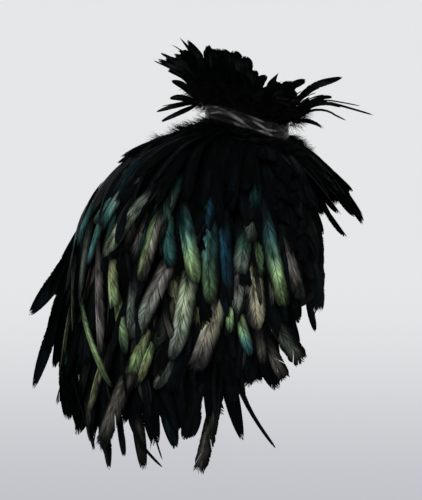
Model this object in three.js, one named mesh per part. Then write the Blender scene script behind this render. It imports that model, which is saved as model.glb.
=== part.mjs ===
// A feather cape for one shoulder, in the form it has when worn: a pleated satin neck band, a
// flared collar of feathers above it, and rows of feathers strung on strips over a cloth
// foundation. Millimetres, +Z up. The wearer faces -Y, so the long side, over the right arm, is
// at -X. The origin is the middle of the neck opening, where the neck holds the cape up.
import * as THREE from "three";

// The neck band and the cloth.
const NECK_RADIUS = 66;
const BAND_HEIGHT = 24;
const BAND_WALL = 2.2;
const CLOTH_WALL = 2;
const SEAM_GAP = 0.3;
const YOKE_LENGTH = 74;

// The feathers and the strips they are strung on.
const STRIP_WIDTH = 8;
const STRIP_WALL = 1.6;
const STRIP_GAP = 0.9;
const FEATHER_WALL = 1.6;

// The neck opening is lower in front than behind, and rides up on the shoulders, most on the
// right one.
const RING_FRONT_DROP = 12;
const RING_SIDE_RISE = 5;
const RING_RIGHT_RISE = 6;

// Angles go round the neck in degrees from the wearer's right (0), by the front (90), to the left
// (180). The long side runs from BACK_EDGE to FRONT_EDGE, and the yoke fills the rest.
const FULL_TURN = 360;
const FRONT_EDGE = 87;
const FRONT_SEAM = 44;
const SHOULDER_SEAM = 2;
const BACK_SEAM = -42;
const BACK_EDGE = -92;

// The form of the cloth over the neck, shoulders, chest and back. Each row is the section at one
// angle: the cloth leaves the neck at topSlope below level, bends between two runs along it, and
// hangs at hangSlope. clothLength is where the cloth ends, and hem is where the feathers end.
const CAPE_SECTIONS = [
  { angle: 0, topSlope: 24, hangSlope: 88, bendStart: 90, bendEnd: 270, clothLength: 390, hem: 592 },
  { angle: 45, topSlope: 32, hangSlope: 87, bendStart: 60, bendEnd: 250, clothLength: 290, hem: 474 },
  { angle: 90, topSlope: 50, hangSlope: 88, bendStart: 50, bendEnd: 250, clothLength: 126, hem: 256 },
  { angle: 135, topSlope: 48, hangSlope: 66, bendStart: 40, bendEnd: 180, clothLength: 74, hem: 200 },
  { angle: 180, topSlope: 28, hangSlope: 70, bendStart: 60, bendEnd: 200, clothLength: 74, hem: 200 },
  { angle: 225, topSlope: 34, hangSlope: 74, bendStart: 45, bendEnd: 200, clothLength: 74, hem: 250 },
  { angle: 270, topSlope: 38, hangSlope: 85, bendStart: 40, bendEnd: 190, clothLength: 260, hem: 447 },
  { angle: 315, topSlope: 30, hangSlope: 86, bendStart: 95, bendEnd: 265, clothLength: 345, hem: 545 },
];

// The flare of the collar in the same terms, where a slope below zero rises. stand is how high
// its cloth stands, and feather is the length of the feathers sewn near its top.
const COLLAR_SECTIONS = [
  { angle: 0, topSlope: -76, hangSlope: -46, bendStart: 10, bendEnd: 100, stand: 30, feather: 88 },
  { angle: 45, topSlope: -80, hangSlope: -54, bendStart: 10, bendEnd: 90, stand: 26, feather: 46 },
  { angle: 90, topSlope: -66, hangSlope: -20, bendStart: 10, bendEnd: 90, stand: 14, feather: 24 },
  { angle: 135, topSlope: -60, hangSlope: 12, bendStart: 10, bendEnd: 100, stand: 20, feather: 116 },
  { angle: 180, topSlope: -68, hangSlope: -30, bendStart: 10, bendEnd: 100, stand: 30, feather: 92 },
  { angle: 225, topSlope: -72, hangSlope: -42, bendStart: 10, bendEnd: 100, stand: 30, feather: 90 },
  { angle: 270, topSlope: -74, hangSlope: -40, bendStart: 10, bendEnd: 100, stand: 32, feather: 90 },
  { angle: 315, topSlope: -72, hangSlope: -28, bendStart: 10, bendEnd: 100, stand: 32, feather: 90 },
];

// Soft flutes that the weight of the feathers opens towards the hem.
const FLUTE_COUNT = 7;
const FLUTE_DEPTH = 7;
const FLUTE_START = 140;
const FLUTE_FULL = 340;

// The panels of the foundation, each between two angles, with the facets across and down it.
const PANELS = [
  { name: "front_panel", from: FRONT_EDGE, to: FRONT_SEAM, across: 6, down: 8 },
  { name: "shoulder_front", from: FRONT_SEAM, to: SHOULDER_SEAM, across: 6, down: 9 },
  { name: "shoulder_back", from: SHOULDER_SEAM, to: BACK_SEAM, across: 6, down: 9 },
  { name: "back_panel", from: BACK_SEAM, to: BACK_EDGE, across: 7, down: 8 },
];
const YOKE = { name: "left_yoke", from: BACK_EDGE, to: FRONT_EDGE - FULL_TURN, across: 18, down: 3 };

// The rows of feathers over the long side. root is the share of the cloth's length where a row is
// sewn. length is a feather's where it is longest, lift is how far it rises from the cloth for
// each unit of its length, and lean is how far its tip strays to a side.
const FEATHER_ROWS = [
  { name: "row_2", root: 0.19, length: 165, width: 22, lift: 0.18, lean: 6, count: 26, finish: "teal" },
  { name: "row_3", root: 0.37, length: 175, width: 24, lift: 0.18, lean: 6, count: 28, finish: "teal" },
  { name: "row_4", root: 0.56, length: 185, width: 25, lift: 0.17, lean: 6, count: 28, finish: "bronze" },
  { name: "row_5", root: 0.76, length: 195, width: 26, lift: 0.16, lean: 6, count: 27, finish: "bronze" },
  { name: "row_6_hem", root: 0.95, length: 205, width: 27, lift: 0.12, lean: 6, count: 25, finish: "tail" },
];
const ROW_FRONT_EDGE = 84;
const ROW_BACK_EDGE = -89;

// The neck row goes all round the cape, and is longest over the front of the far shoulder.
const NECK_ROW = { width: 22, lift: 0.18, lean: 5, count: 34 };
const NECK_ROW_LENGTHS = [
  { angle: 0, length: 138 },
  { angle: 60, length: 138 },
  { angle: 120, length: 152 },
  { angle: 180, length: 140 },
  { angle: 240, length: 138 },
  { angle: 300, length: 136 },
];

// The collar's feathers stand on the outside of its cloth, sewn a little below the top.
const COLLAR_ROW = { width: 13, lift: 0.06, lean: 4, count: 34 };
const COLLAR_ROW_DROP = 3;

// A feather's outline: the share of its full width, at shares of its length from the root. A root
// fills ROOT_SHARE of the room it has on the strip, and a feather at most ROOM_SHARE further out.
const FEATHER_OUTLINE = [
  { along: 0.3, width: 0.86 },
  { along: 0.62, width: 1 },
  { along: 0.88, width: 0.62 },
];
const ROOT_SHARE = 0.72;
const ROOM_SHARE = 0.82;
const LENGTH_SPREAD = 0.09;
const LIFT_SPREAD = 0.02;

const FINISHES = {
  satin: { color: 0x2a2a2c, roughness: 0.32, metalness: 0 },
  cloth: { color: 0x0c0c0e, roughness: 0.9, metalness: 0 },
  hackle: { color: 0x070809, roughness: 0.8, metalness: 0 },
  teal: { color: 0x10302c, roughness: 0.5, metalness: 0.2 },
  bronze: { color: 0x3b4228, roughness: 0.5, metalness: 0.2 },
  tail: { color: 0x0d0e0f, roughness: 0.6, metalness: 0 },
};

const radians = THREE.MathUtils.degToRad;

// Evenly spaced values from one to another, with both ends.
function evenly(steps, from, to) {
  return Array.from({ length: steps + 1 }, (_, i) => from + ((to - from) * i) / steps);
}

// Evenly spaced angles all round.
function allRound(steps) {
  return evenly(steps, 0, FULL_TURN).slice(0, -1);
}

// A small steady variation between neighbours, from -1 to 1.
function vary(index, kind) {
  return Math.sin(index * 2.4 + kind * 1.7) * Math.cos(index * 0.9 + kind);
}

// The value of a column at any angle: a smooth closed curve through the evenly spaced rows.
function atAngle(rows, column, angle) {
  const place = THREE.MathUtils.euclideanModulo(angle, FULL_TURN) / (FULL_TURN / rows.length);
  const first = Math.floor(place);
  const t = place - first;
  const near = (step) => rows[(first + step + rows.length) % rows.length][column];
  const [a, b, c, d] = [near(-1), near(0), near(1), near(2)];
  return b + 0.5 * t * (c - a + t * (2 * a - 5 * b + 4 * c - d + t * (3 * (b - c) + d - a)));
}

const clothLength = (angle) => atAngle(CAPE_SECTIONS, "clothLength", angle);

// The height of the neck opening's edge, at the bottom of the band.
function ringHeight(angle) {
  const turn = radians(angle);
  const tilt = RING_RIGHT_RISE * Math.cos(turn) - RING_FRONT_DROP * Math.sin(turn);
  return tilt + RING_SIDE_RISE * Math.cos(2 * turn);
}

// A point at an angle round the neck, at a distance from its axis and a height.
function roundNeck(angle, distance, height) {
  const turn = radians(angle);
  return new THREE.Vector3(-distance * Math.cos(turn), -distance * Math.sin(turn), height);
}

// A surface that leaves the ring round the neck and bends as its table of sections says.
class Drape {
  constructor(sections, ringRise, fluteDepth) {
    this.sections = sections;
    this.ringRise = ringRise;
    this.fluteDepth = fluteDepth;
  }

  // Distance from the neck's axis, height and slope after a run along the section at an angle.
  section(angle, run) {
    const top = radians(atAngle(this.sections, "topSlope", angle));
    const hang = radians(atAngle(this.sections, "hangSlope", angle));
    const start = atAngle(this.sections, "bendStart", angle);
    const end = atAngle(this.sections, "bendEnd", angle);
    const radius = (end - start) / (hang - top);
    const slope = top + (THREE.MathUtils.clamp(run, start, end) - start) / radius;
    const before = Math.min(run, start);
    const after = Math.max(run - end, 0);
    const bendReach = radius * (Math.sin(slope) - Math.sin(top));
    const bendDrop = radius * (Math.cos(top) - Math.cos(slope));
    const reach = NECK_RADIUS + before * Math.cos(top) + bendReach + after * Math.cos(hang);
    const drop = before * Math.sin(top) + bendDrop + after * Math.sin(hang);
    return { reach, height: ringHeight(angle) + this.ringRise - drop, slope };
  }

  // The point at an angle and a run, moved out of the surface by lift.
  point(angle, run, lift) {
    const { reach, height, slope } = this.section(angle, run);
    const opened = THREE.MathUtils.smoothstep(run, FLUTE_START, FLUTE_FULL);
    const out = lift + this.fluteDepth * opened * Math.sin(radians(angle * FLUTE_COUNT));
    return roundNeck(angle, reach + out * Math.sin(slope), height + out * Math.cos(slope));
  }

  // The turn that moves a point sideways by a distance along the surface.
  turnFor(angle, run, distance) {
    return THREE.MathUtils.radToDeg(distance / this.section(angle, run).reach);
  }
}

// Collects the faces of one closed body.
class Faces {
  constructor() {
    this.positions = [];
  }

  triangle(...corners) {
    for (const corner of corners) this.positions.push(corner.x, corner.y, corner.z);
  }

  quad(a, b, c, d) {
    this.triangle(a, b, c);
    this.triangle(a, c, d);
  }

  // Joins two outlines that have the same number of points.
  join(from, to) {
    from.forEach((point, k) => {
      const next = (k + 1) % from.length;
      this.quad(point, from[next], to[next], to[k]);
    });
  }

  // Six times the volume enclosed, below zero when the faces point inwards.
  signedVolume() {
    const p = this.positions;
    let sum = 0;
    for (let i = 0; i < p.length; i += 9) {
      sum += p[i] * (p[i + 4] * p[i + 8] - p[i + 5] * p[i + 7]);
      sum += p[i + 1] * (p[i + 5] * p[i + 6] - p[i + 3] * p[i + 8]);
      sum += p[i + 2] * (p[i + 3] * p[i + 7] - p[i + 4] * p[i + 6]);
    }
    return sum;
  }

  // Swaps two corners of every face, which turns the body inside out.
  flip() {
    const p = this.positions;
    for (let i = 0; i < p.length; i += 9)
      for (let k = i + 3; k < i + 6; k++) [p[k], p[k + 3]] = [p[k + 3], p[k]];
  }

  geometry() {
    if (this.signedVolume() < 0) this.flip();
    const made = new THREE.BufferGeometry();
    made.setAttribute("position", new THREE.Float32BufferAttribute(this.positions, 3));
    made.computeVertexNormals();
    return made;
  }
}

// A wall through sections, each with its outer and its inner points in the same order. A closed
// wall joins its last section to its first, and an open one gets a cap at each end.
function wall(sections, closed) {
  const faces = new Faces();
  const loops = sections.map(({ outer, inner }) => [...outer, ...inner.toReversed()]);
  const cap = ({ outer, inner }, order) => {
    for (let k = 0; k + 1 < outer.length; k++)
      faces.quad(...order([outer[k], outer[k + 1], inner[k + 1], inner[k]]));
  };
  for (let i = 0; i + 1 < loops.length; i++) faces.join(loops[i], loops[i + 1]);
  if (closed) faces.join(loops.at(-1), loops[0]);
  else {
    cap(sections[0], (corners) => corners.reverse());
    cap(sections.at(-1), (corners) => corners);
  }
  return faces.geometry();
}

// One panel of the foundation. Its sides stand back from the seams by half a gap.
function foundationPanel({ from, to, across, down }, lengthAt) {
  const inward = Math.sign(to - from) * (SEAM_GAP / 2);
  const sections = evenly(across, from, to).map((angle, i) => {
    const inset = i === 0 ? inward : i === across ? -inward : 0;
    const runs = evenly(down, SEAM_GAP, lengthAt(angle));
    const at = (lift) => runs.map((run) => cape.point(angle + cape.turnFor(angle, run, inset), run, lift));
    return { outer: at(0), inner: at(-CLOTH_WALL) };
  });
  return wall(sections, false);
}

// The band's pleats run along it and wander up and down.
const PLEAT_DEPTH = 0.9;
const PLEATS_ACROSS = 2.5;
const WANDERS = [
  { waves: 3, start: 40, size: 0.9 },
  { waves: 5, start: 0, size: 0.5 },
];

function pleat(angle, share) {
  let phase = 2 * Math.PI * PLEATS_ACROSS * share;
  for (const { waves, start, size } of WANDERS) phase += size * Math.sin(radians(waves * angle + start));
  return PLEAT_DEPTH * Math.sin(phase);
}

// A point on the band, at a share of its height and a distance out of its inner face.
function bandPoint(angle, share, out) {
  const inner = NECK_RADIUS - BAND_WALL - PLEAT_DEPTH;
  return roundNeck(angle, inner + out, ringHeight(angle) + share * BAND_HEIGHT);
}

const BAND_FACETS = { round: 60, up: 8 };

function neckBand() {
  const shares = evenly(BAND_FACETS.up, 0, 1);
  const sections = allRound(BAND_FACETS.round).map((angle) => ({
    outer: shares.map((share) => bandPoint(angle, share, BAND_WALL + pleat(angle, share))),
    inner: shares.map((share) => bandPoint(angle, share, 0)),
  }));
  return wall(sections, true);
}

// The band's lapped end, at the front. Its outer face follows the pleats it lies on.
const LAP = { from: 84, to: 112, wall: 1.4, margin: 0.06, facets: 7 };

function bandEnd() {
  const shares = evenly(BAND_FACETS.up, LAP.margin, 1 - LAP.margin);
  const seat = BAND_WALL + PLEAT_DEPTH + SEAM_GAP;
  const face = seat + LAP.wall + PLEAT_DEPTH;
  const sections = evenly(LAP.facets, LAP.from, LAP.to).map((angle) => ({
    outer: shares.map((share) => bandPoint(angle, share, face + pleat(angle, share))),
    inner: shares.map((share) => bandPoint(angle, share, seat)),
  }));
  return wall(sections, false);
}

// The flared cloth above the band. Its outer face is the collar's surface.
const STAND_FACETS = { round: 40, up: 2 };

function collarStand() {
  const sections = allRound(STAND_FACETS.round).map((angle) => {
    const runs = evenly(STAND_FACETS.up, 0, atAngle(COLLAR_SECTIONS, "stand", angle));
    const at = (lift) => runs.map((run) => collar.point(angle, run, lift));
    return { outer: at(0), inner: at(CLOTH_WALL) };
  });
  return wall(sections, true);
}

// A row of feathers on a strip. The strip is a bar along the row. Each feather grows out of its
// free side, widens, and ends in a point, apart from its neighbours.
function featherRow(row) {
  const { surface, out, from, to, count, closed } = row;
  const faces = new Faces();
  const pitch = (to - from) / count;
  const strip = Array.from({ length: 2 * count }, (_, i) => {
    const middle = from + pitch * (Math.floor(i / 2) + 0.5);
    const angle = middle + pitch * ROOT_SHARE * (i % 2 ? 0.5 : -0.5);
    const run = row.rootAt(angle);
    return {
      sewnLow: surface.point(angle, run - STRIP_WIDTH, out * STRIP_GAP),
      sewnHigh: surface.point(angle, run - STRIP_WIDTH, out * (STRIP_GAP + STRIP_WALL)),
      freeHigh: surface.point(angle, run, out * (STRIP_GAP + STRIP_WALL)),
      freeLow: surface.point(angle, run, out * STRIP_GAP),
    };
  });
  const joints = closed ? strip.length : strip.length - 1;
  for (let i = 0; i < joints; i++) {
    const a = strip[i];
    const b = strip[(i + 1) % strip.length];
    const free = [a.freeHigh, b.freeHigh, b.freeLow, a.freeLow];
    faces.quad(a.sewnLow, b.sewnLow, b.sewnHigh, a.sewnHigh);
    faces.quad(a.sewnHigh, b.sewnHigh, b.freeHigh, a.freeHigh);
    faces.quad(a.freeLow, b.freeLow, b.sewnLow, a.sewnLow);
    if (i % 2) faces.quad(...free);
    else addFeather(faces, row, i / 2, pitch, free);
  }
  if (!closed) {
    const [first, last] = [strip[0], strip.at(-1)];
    faces.quad(first.sewnLow, first.sewnHigh, first.freeHigh, first.freeLow);
    faces.quad(last.freeLow, last.freeHigh, last.sewnHigh, last.sewnLow);
  }
  return faces.geometry();
}

// One feather, lofted from its root outline on the strip to its tip.
function addFeather(faces, row, index, pitch, root) {
  const { surface, out, width, lift, lean } = row;
  const angle = row.from + pitch * (index + 0.5);
  const length = row.lengthAt(angle) * (1 + LENGTH_SPREAD * vary(index, 1));
  const stray = lean * vary(index, 2);
  const rise = lift * (1 + LIFT_SPREAD * vary(index, 3));
  const rootHeight = STRIP_GAP + STRIP_WALL - FEATHER_WALL / 2;
  const at = (along, side, height) => {
    const run = row.rootAt(angle) + along * length;
    const room = ROOM_SHARE * radians(pitch) * surface.section(angle, run).reach;
    const aside = (side / 2) * Math.min(width, room) + stray * along * along;
    const raised = rootHeight + rise * along * length + height;
    return surface.point(angle + surface.turnFor(angle, run, aside), run, out * raised);
  };
  let outline = root;
  for (const { along, width: share } of FEATHER_OUTLINE) {
    const next = [
      at(along, -share, FEATHER_WALL / 2),
      at(along, share, FEATHER_WALL / 2),
      at(along, share, -FEATHER_WALL / 2),
      at(along, -share, -FEATHER_WALL / 2),
    ];
    faces.join(outline, next);
    outline = next;
  }
  const tip = at(1, 0, 0);
  outline.forEach((point, k) => faces.triangle(point, outline[(k + 1) % outline.length], tip));
}

// A row on the long side. Its feathers shorten round the cape as those of the hem row do, which
// end where the sections say.
function capeRow(row) {
  const hemRow = FEATHER_ROWS.at(-1);
  const rootOf = (share, angle) => STRIP_WIDTH + 1 + share * clothLength(angle);
  const hem = (angle) => atAngle(CAPE_SECTIONS, "hem", angle);
  const hemShare = (angle) => (hem(angle) - rootOf(hemRow.root, angle)) / hemRow.length;
  return featherRow({
    ...row,
    surface: cape,
    out: 1,
    closed: false,
    from: ROW_BACK_EDGE,
    to: ROW_FRONT_EDGE,
    rootAt: (angle) => rootOf(row.root, angle),
    lengthAt: (angle) => row.length * hemShare(angle),
  });
}

function neckRow() {
  return featherRow({
    ...NECK_ROW,
    surface: cape,
    out: 1,
    closed: true,
    from: 0,
    to: FULL_TURN,
    rootAt: () => STRIP_WIDTH + 1,
    lengthAt: (angle) => atAngle(NECK_ROW_LENGTHS, "length", angle),
  });
}

function collarRow() {
  return featherRow({
    ...COLLAR_ROW,
    surface: collar,
    out: -1,
    closed: true,
    from: 0,
    to: FULL_TURN,
    rootAt: (angle) => atAngle(COLLAR_SECTIONS, "stand", angle) - COLLAR_ROW_DROP,
    lengthAt: (angle) => atAngle(COLLAR_SECTIONS, "feather", angle),
  });
}

const cape = new Drape(CAPE_SECTIONS, 0, FLUTE_DEPTH);
const collar = new Drape(COLLAR_SECTIONS, BAND_HEIGHT + SEAM_GAP, 0);
const garment = new THREE.Group();

function add(name, geometry, finish) {
  const mesh = new THREE.Mesh(geometry, new THREE.MeshStandardMaterial(FINISHES[finish]));
  mesh.name = name;
  garment.add(mesh);
}

add("neck_band", neckBand(), "satin");
add("band_end", bandEnd(), "satin");
add("collar_stand", collarStand(), "cloth");
for (const panel of PANELS) add(panel.name, foundationPanel(panel, clothLength), "cloth");
add(YOKE.name, foundationPanel(YOKE, () => YOKE_LENGTH), "cloth");
add("collar_feathers", collarRow(), "hackle");
add("row_1_neck", neckRow(), "hackle");
for (const row of FEATHER_ROWS) add(row.name, capeRow(row), row.finish);

export default garment;
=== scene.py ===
"""A feather cape worn over one shoulder, dressed over its CAD frame.

The cape hangs from a pleated satin neck band. A collar of black feathers flares above the band,
a ring of fluffy hackles goes round the neck, and tiers of glossy rooster feathers cover the
wearer's right shoulder and arm. The wearer faces -Y, and the long side is at -X.

Sizes in the tables are millimetres and degrees. Blender's own units are metres.
"""

from __future__ import annotations

import logging
import math
from collections.abc import Callable, Iterable, Sequence
from dataclasses import dataclass, field
from enum import Enum

import bmesh
import bpy
import numpy as np
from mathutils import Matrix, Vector

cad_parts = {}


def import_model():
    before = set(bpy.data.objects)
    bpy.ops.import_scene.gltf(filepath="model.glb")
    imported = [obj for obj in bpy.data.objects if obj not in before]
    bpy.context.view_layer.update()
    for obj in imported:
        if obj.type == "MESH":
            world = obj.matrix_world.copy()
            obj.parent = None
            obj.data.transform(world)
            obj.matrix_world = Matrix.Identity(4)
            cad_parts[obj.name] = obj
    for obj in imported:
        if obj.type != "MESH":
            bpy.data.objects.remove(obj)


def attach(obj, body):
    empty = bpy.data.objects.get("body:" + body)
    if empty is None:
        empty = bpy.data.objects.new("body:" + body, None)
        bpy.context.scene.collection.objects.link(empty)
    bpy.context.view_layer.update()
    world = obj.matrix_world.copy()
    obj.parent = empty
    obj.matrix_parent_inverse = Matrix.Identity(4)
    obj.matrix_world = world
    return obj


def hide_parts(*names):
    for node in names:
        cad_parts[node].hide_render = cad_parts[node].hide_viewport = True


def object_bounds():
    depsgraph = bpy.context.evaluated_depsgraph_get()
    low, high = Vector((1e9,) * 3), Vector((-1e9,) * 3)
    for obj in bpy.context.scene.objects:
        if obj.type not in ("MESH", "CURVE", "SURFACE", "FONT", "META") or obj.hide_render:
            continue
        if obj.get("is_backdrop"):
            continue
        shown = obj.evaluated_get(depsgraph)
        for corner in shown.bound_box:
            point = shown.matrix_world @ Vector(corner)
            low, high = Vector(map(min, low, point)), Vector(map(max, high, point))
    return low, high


log = logging.getLogger("feather_cape")

Colour = tuple[float, float, float, float]
Pair = tuple[float, float]

MM = 0.001
FULL_TURN = 360
SEED = 20
BODY = "root"

# The neck opening, as in the CAD model.
NECK_RADIUS = 66
BAND_HEIGHT = 24
PLEAT_DEPTH = 0.9
SEAM_GAP = 0.3
CLOTH_WALL = 2
YOKE_LENGTH = 74
RING_FRONT_DROP = 12
RING_SIDE_RISE = 5
RING_RIGHT_RISE = 6

# Angles round the neck, from the wearer's right (0) by the front (90) to the left (180).
FRONT_EDGE = 87
FRONT_SEAM = 44
SHOULDER_SEAM = 2
BACK_SEAM = -42
BACK_EDGE = -92
ROW_FRONT_EDGE = 84
ROW_BACK_EDGE = -89

# Spans of angles where the feathers differ.
BARE_SIDE = (76, 268)
BARE_NECK = (82, 215)
THIN_COLLAR = (92, 178)
SHORT_BACK_COLLAR = (268, 345)
SHORT_LEFT_COLLAR = (178, 262)

# Soft steps of angles, up and down again, between which the ring of hackles differs.
RING_SHORT_FRONT = ((80, 94), (146, 126))
RING_LONG_FRONT = ((12, 30), (84, 66))
RING_OUTLINE = ((16, -8), (-96, -64))

# The flutes that open towards the hem.
FLUTE_COUNT = 7
FLUTE_DEPTH = 7
FLUTE_START = 140
FLUTE_FULL = 340

# Shares of a feather between which its colours change: along it, and then across it.
SHEEN_STARTS = (0.2, 0.58)
SHEEN_ENDS = (0.74, 0.98)
TONES_MEET = (0.4, 0.85)
SIDES_MEET = (-0.12, 0.12)
SHADE_MEETS = (-0.06, 0.1)
TIP_DARKNESS = 0.9

# The part of the golden ratio after the point.
GOLDEN = 0.618

# How far apart two feathers' noise is, how near points are joined, and what bends sharply.
SEED_STEP = 17.3
WELD = 1e-5
SHARP_BEND = 50


@dataclass(frozen=True)
class Section:
    """The form of the cloth and the feathers at one angle round the neck.

    Slopes are below level, and runs are measured along the cloth from the neck. The cloth
    bends between bend_start and bend_end, ends at cloth, and its longest feathers end at tips.
    """

    angle: float
    top_slope: float
    hang_slope: float
    bend_start: float
    bend_end: float
    cloth: float
    tips: float


CAPE_SECTIONS = (
    Section(0, 24, 88, 90, 270, 390, 592),
    Section(45, 32, 87, 60, 250, 290, 474),
    Section(90, 50, 88, 50, 250, 126, 256),
    Section(135, 48, 66, 40, 180, 74, 200),
    Section(180, 28, 70, 60, 200, 74, 200),
    Section(225, 34, 74, 45, 200, 74, 250),
    Section(270, 38, 85, 40, 190, 260, 447),
    Section(315, 30, 86, 95, 265, 345, 545),
)

COLLAR_SECTIONS = (
    Section(0, -76, -46, 10, 100, 30, 118),
    Section(45, -80, -54, 10, 90, 26, 72),
    Section(90, -66, -20, 10, 90, 14, 38),
    Section(135, -60, 12, 10, 100, 20, 136),
    Section(180, -68, -30, 10, 100, 30, 122),
    Section(225, -72, -42, 10, 100, 30, 120),
    Section(270, -74, -40, 10, 100, 32, 122),
    Section(315, -72, -28, 10, 100, 32, 122),
)


def smooth(low: float, high: float, value: np.ndarray) -> np.ndarray:
    """Returns 0 below low and 1 above high, with a soft step between them."""
    t = np.clip((value - low) / (high - low), 0, 1)
    return t * t * (3 - 2 * t)


def ramp(low: float, high: float, value: float) -> float:
    """Returns the soft step at one value."""
    return float(smooth(low, high, value))


def hill(climb: Pair, fall: Pair, value: float) -> float:
    """Returns 1 between a soft step up and a soft step down, and 0 outside them."""
    return float(smooth(*climb, value) * smooth(*fall, value))


def within(angle: float, span: Pair) -> bool:
    """Returns whether an angle lies in a span."""
    return span[0] < angle < span[1]


def signed(angle: np.ndarray) -> np.ndarray:
    """Returns angles as turns from minus half a turn to half a turn."""
    return (angle + FULL_TURN / 2) % FULL_TURN - FULL_TURN / 2


def unit(vectors: np.ndarray) -> np.ndarray:
    """Returns the vectors along the last axis, each made one long."""
    return vectors / np.maximum(np.linalg.norm(vectors, axis=-1, keepdims=True), 1e-9)


def ring_height(angle: np.ndarray) -> np.ndarray:
    """Returns the height of the neck opening's edge at an angle."""
    turn = np.radians(angle)
    tilt = RING_RIGHT_RISE * np.cos(turn) - RING_FRONT_DROP * np.sin(turn)
    return tilt + RING_SIDE_RISE * np.cos(2 * turn)


def round_neck(angle: np.ndarray, distance: np.ndarray, height: np.ndarray) -> np.ndarray:
    """Places points round the neck's axis.

    Args:
        angle: degrees from the wearer's right, by the front.
        distance: millimetres from the axis.
        height: millimetres above the origin.

    Returns:
        Points in metres, on the last axis.
    """
    turn = np.radians(angle)
    return MM * np.stack([-distance * np.cos(turn), -distance * np.sin(turn), height], axis=-1)


@dataclass(frozen=True)
class Drape:
    """A surface that leaves the ring round the neck and bends as its sections say.

    Attributes:
        sections: evenly spaced sections, all round.
        ring_rise: how far above the neck opening's edge it starts.
        flute_depth: how deep the flutes are near the hem.
        outside: 1 where raising a point lifts it off the garment, and -1 on the collar.
    """

    sections: tuple[Section, ...]
    ring_rise: float
    flute_depth: float
    outside: int

    def value(self, name: str, angle: np.ndarray) -> np.ndarray:
        """Returns a column of the table at any angle, on a smooth closed curve through it."""
        rows = np.array([getattr(section, name) for section in self.sections], float)
        place = np.mod(angle, FULL_TURN) / (FULL_TURN / len(rows))
        first = np.floor(place).astype(int)
        t = place - first
        a, b, c, d = (rows[(first + step) % len(rows)] for step in (-1, 0, 1, 2))
        return b + 0.5 * t * (c - a + t * (2 * a - 5 * b + 4 * c - d + t * (3 * (b - c) + d - a)))

    def at(self, name: str, angle: float) -> float:
        """Returns a column of the table at one angle."""
        return float(self.value(name, angle))

    def section(self, angle: np.ndarray, run: np.ndarray) -> tuple[np.ndarray, np.ndarray, np.ndarray]:
        """Follows the surface outwards.

        Args:
            angle: degrees round the neck.
            run: millimetres along the surface from the neck.

        Returns:
            The distance from the neck's axis, the height, and the slope in radians.
        """
        top = np.radians(self.value("top_slope", angle))
        hang = np.radians(self.value("hang_slope", angle))
        start = self.value("bend_start", angle)
        end = self.value("bend_end", angle)
        radius = (end - start) / (hang - top)
        slope = top + (np.clip(run, start, end) - start) / radius
        before = np.minimum(run, start)
        after = np.maximum(run - end, 0)
        reach = before * np.cos(top) + radius * (np.sin(slope) - np.sin(top)) + after * np.cos(hang)
        drop = before * np.sin(top) + radius * (np.cos(top) - np.cos(slope)) + after * np.sin(hang)
        return NECK_RADIUS + reach, ring_height(angle) + self.ring_rise - drop, slope

    def point(self, angle: np.ndarray, run: np.ndarray, lift: np.ndarray) -> np.ndarray:
        """Returns points on the surface, in metres, raised off the garment by lift."""
        reach, height, slope = self.section(angle, run)
        opened = smooth(FLUTE_START, FLUTE_FULL, run)
        flute = self.flute_depth * opened * np.sin(np.radians(angle * FLUTE_COUNT))
        out = self.outside * lift + flute
        return round_neck(angle, reach + out * np.sin(slope), height + out * np.cos(slope))

    def normal(self, angle: np.ndarray, run: np.ndarray) -> np.ndarray:
        """Returns the directions that point off the garment."""
        slope = self.section(angle, run)[2]
        turn = np.radians(angle)
        out = [-np.sin(slope) * np.cos(turn), -np.sin(slope) * np.sin(turn), np.cos(slope)]
        return self.outside * np.stack(out, axis=-1)

    def turn_for(self, angle: np.ndarray, run: np.ndarray, distance: np.ndarray) -> np.ndarray:
        """Returns the turn in degrees that moves a point sideways by a distance."""
        return np.degrees(distance / self.section(angle, run)[0])


CAPE = Drape(CAPE_SECTIONS, 0, FLUTE_DEPTH, 1)
COLLAR = Drape(COLLAR_SECTIONS, BAND_HEIGHT + SEAM_GAP, 0, -1)


class Tone(Enum):
    """The colours of the feathers where they catch the light, as 8-bit sRGB."""

    BLACK = (3, 5, 5)
    INK = (5, 14, 19)
    BLUE = (17, 44, 58)
    TEAL = (42, 80, 79)
    SEA = (34, 66, 56)
    LIME = (112, 134, 92)
    MOSS = (70, 92, 64)
    OLIVE = (112, 116, 82)
    SAGE = (122, 134, 108)
    ASH = (92, 102, 92)
    MAUVE = (94, 89, 86)
    UMBER = (62, 60, 54)
    CREAM = (150, 148, 122)

    def linear(self) -> np.ndarray:
        """Returns the colour as linear light."""
        srgb = np.array(self.value) / 255
        return np.where(srgb < 0.04045, srgb / 12.92, ((srgb + 0.055) / 1.055) ** 2.4)


Tones = tuple[Tone, Tone]


class Kind(Enum):
    """The kinds of feather that are strung on the strips."""

    HACKLE = "hackle"
    BROAD = "broad"
    LEAF = "leaf"
    SPLIT = "split"
    RAGGED = "ragged"
    SICKLE = "sickle"
    QUILL = "quill"
    DOWN = "down"


@dataclass(frozen=True)
class Vane:
    """How one kind of feather is cut.

    Attributes:
        widths: the share of its full width at each row from root to tip.
        camber: how far its edges fall below the shaft, in widths.
        sweep: how far its barbs lean to the tip, in lengths.
        notches: where its barbs have parted, as (row, side, gap in lengths).
    """

    widths: tuple[float, ...]
    camber: float
    sweep: float
    notches: tuple[tuple[int, int, float], ...] = ()


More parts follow.
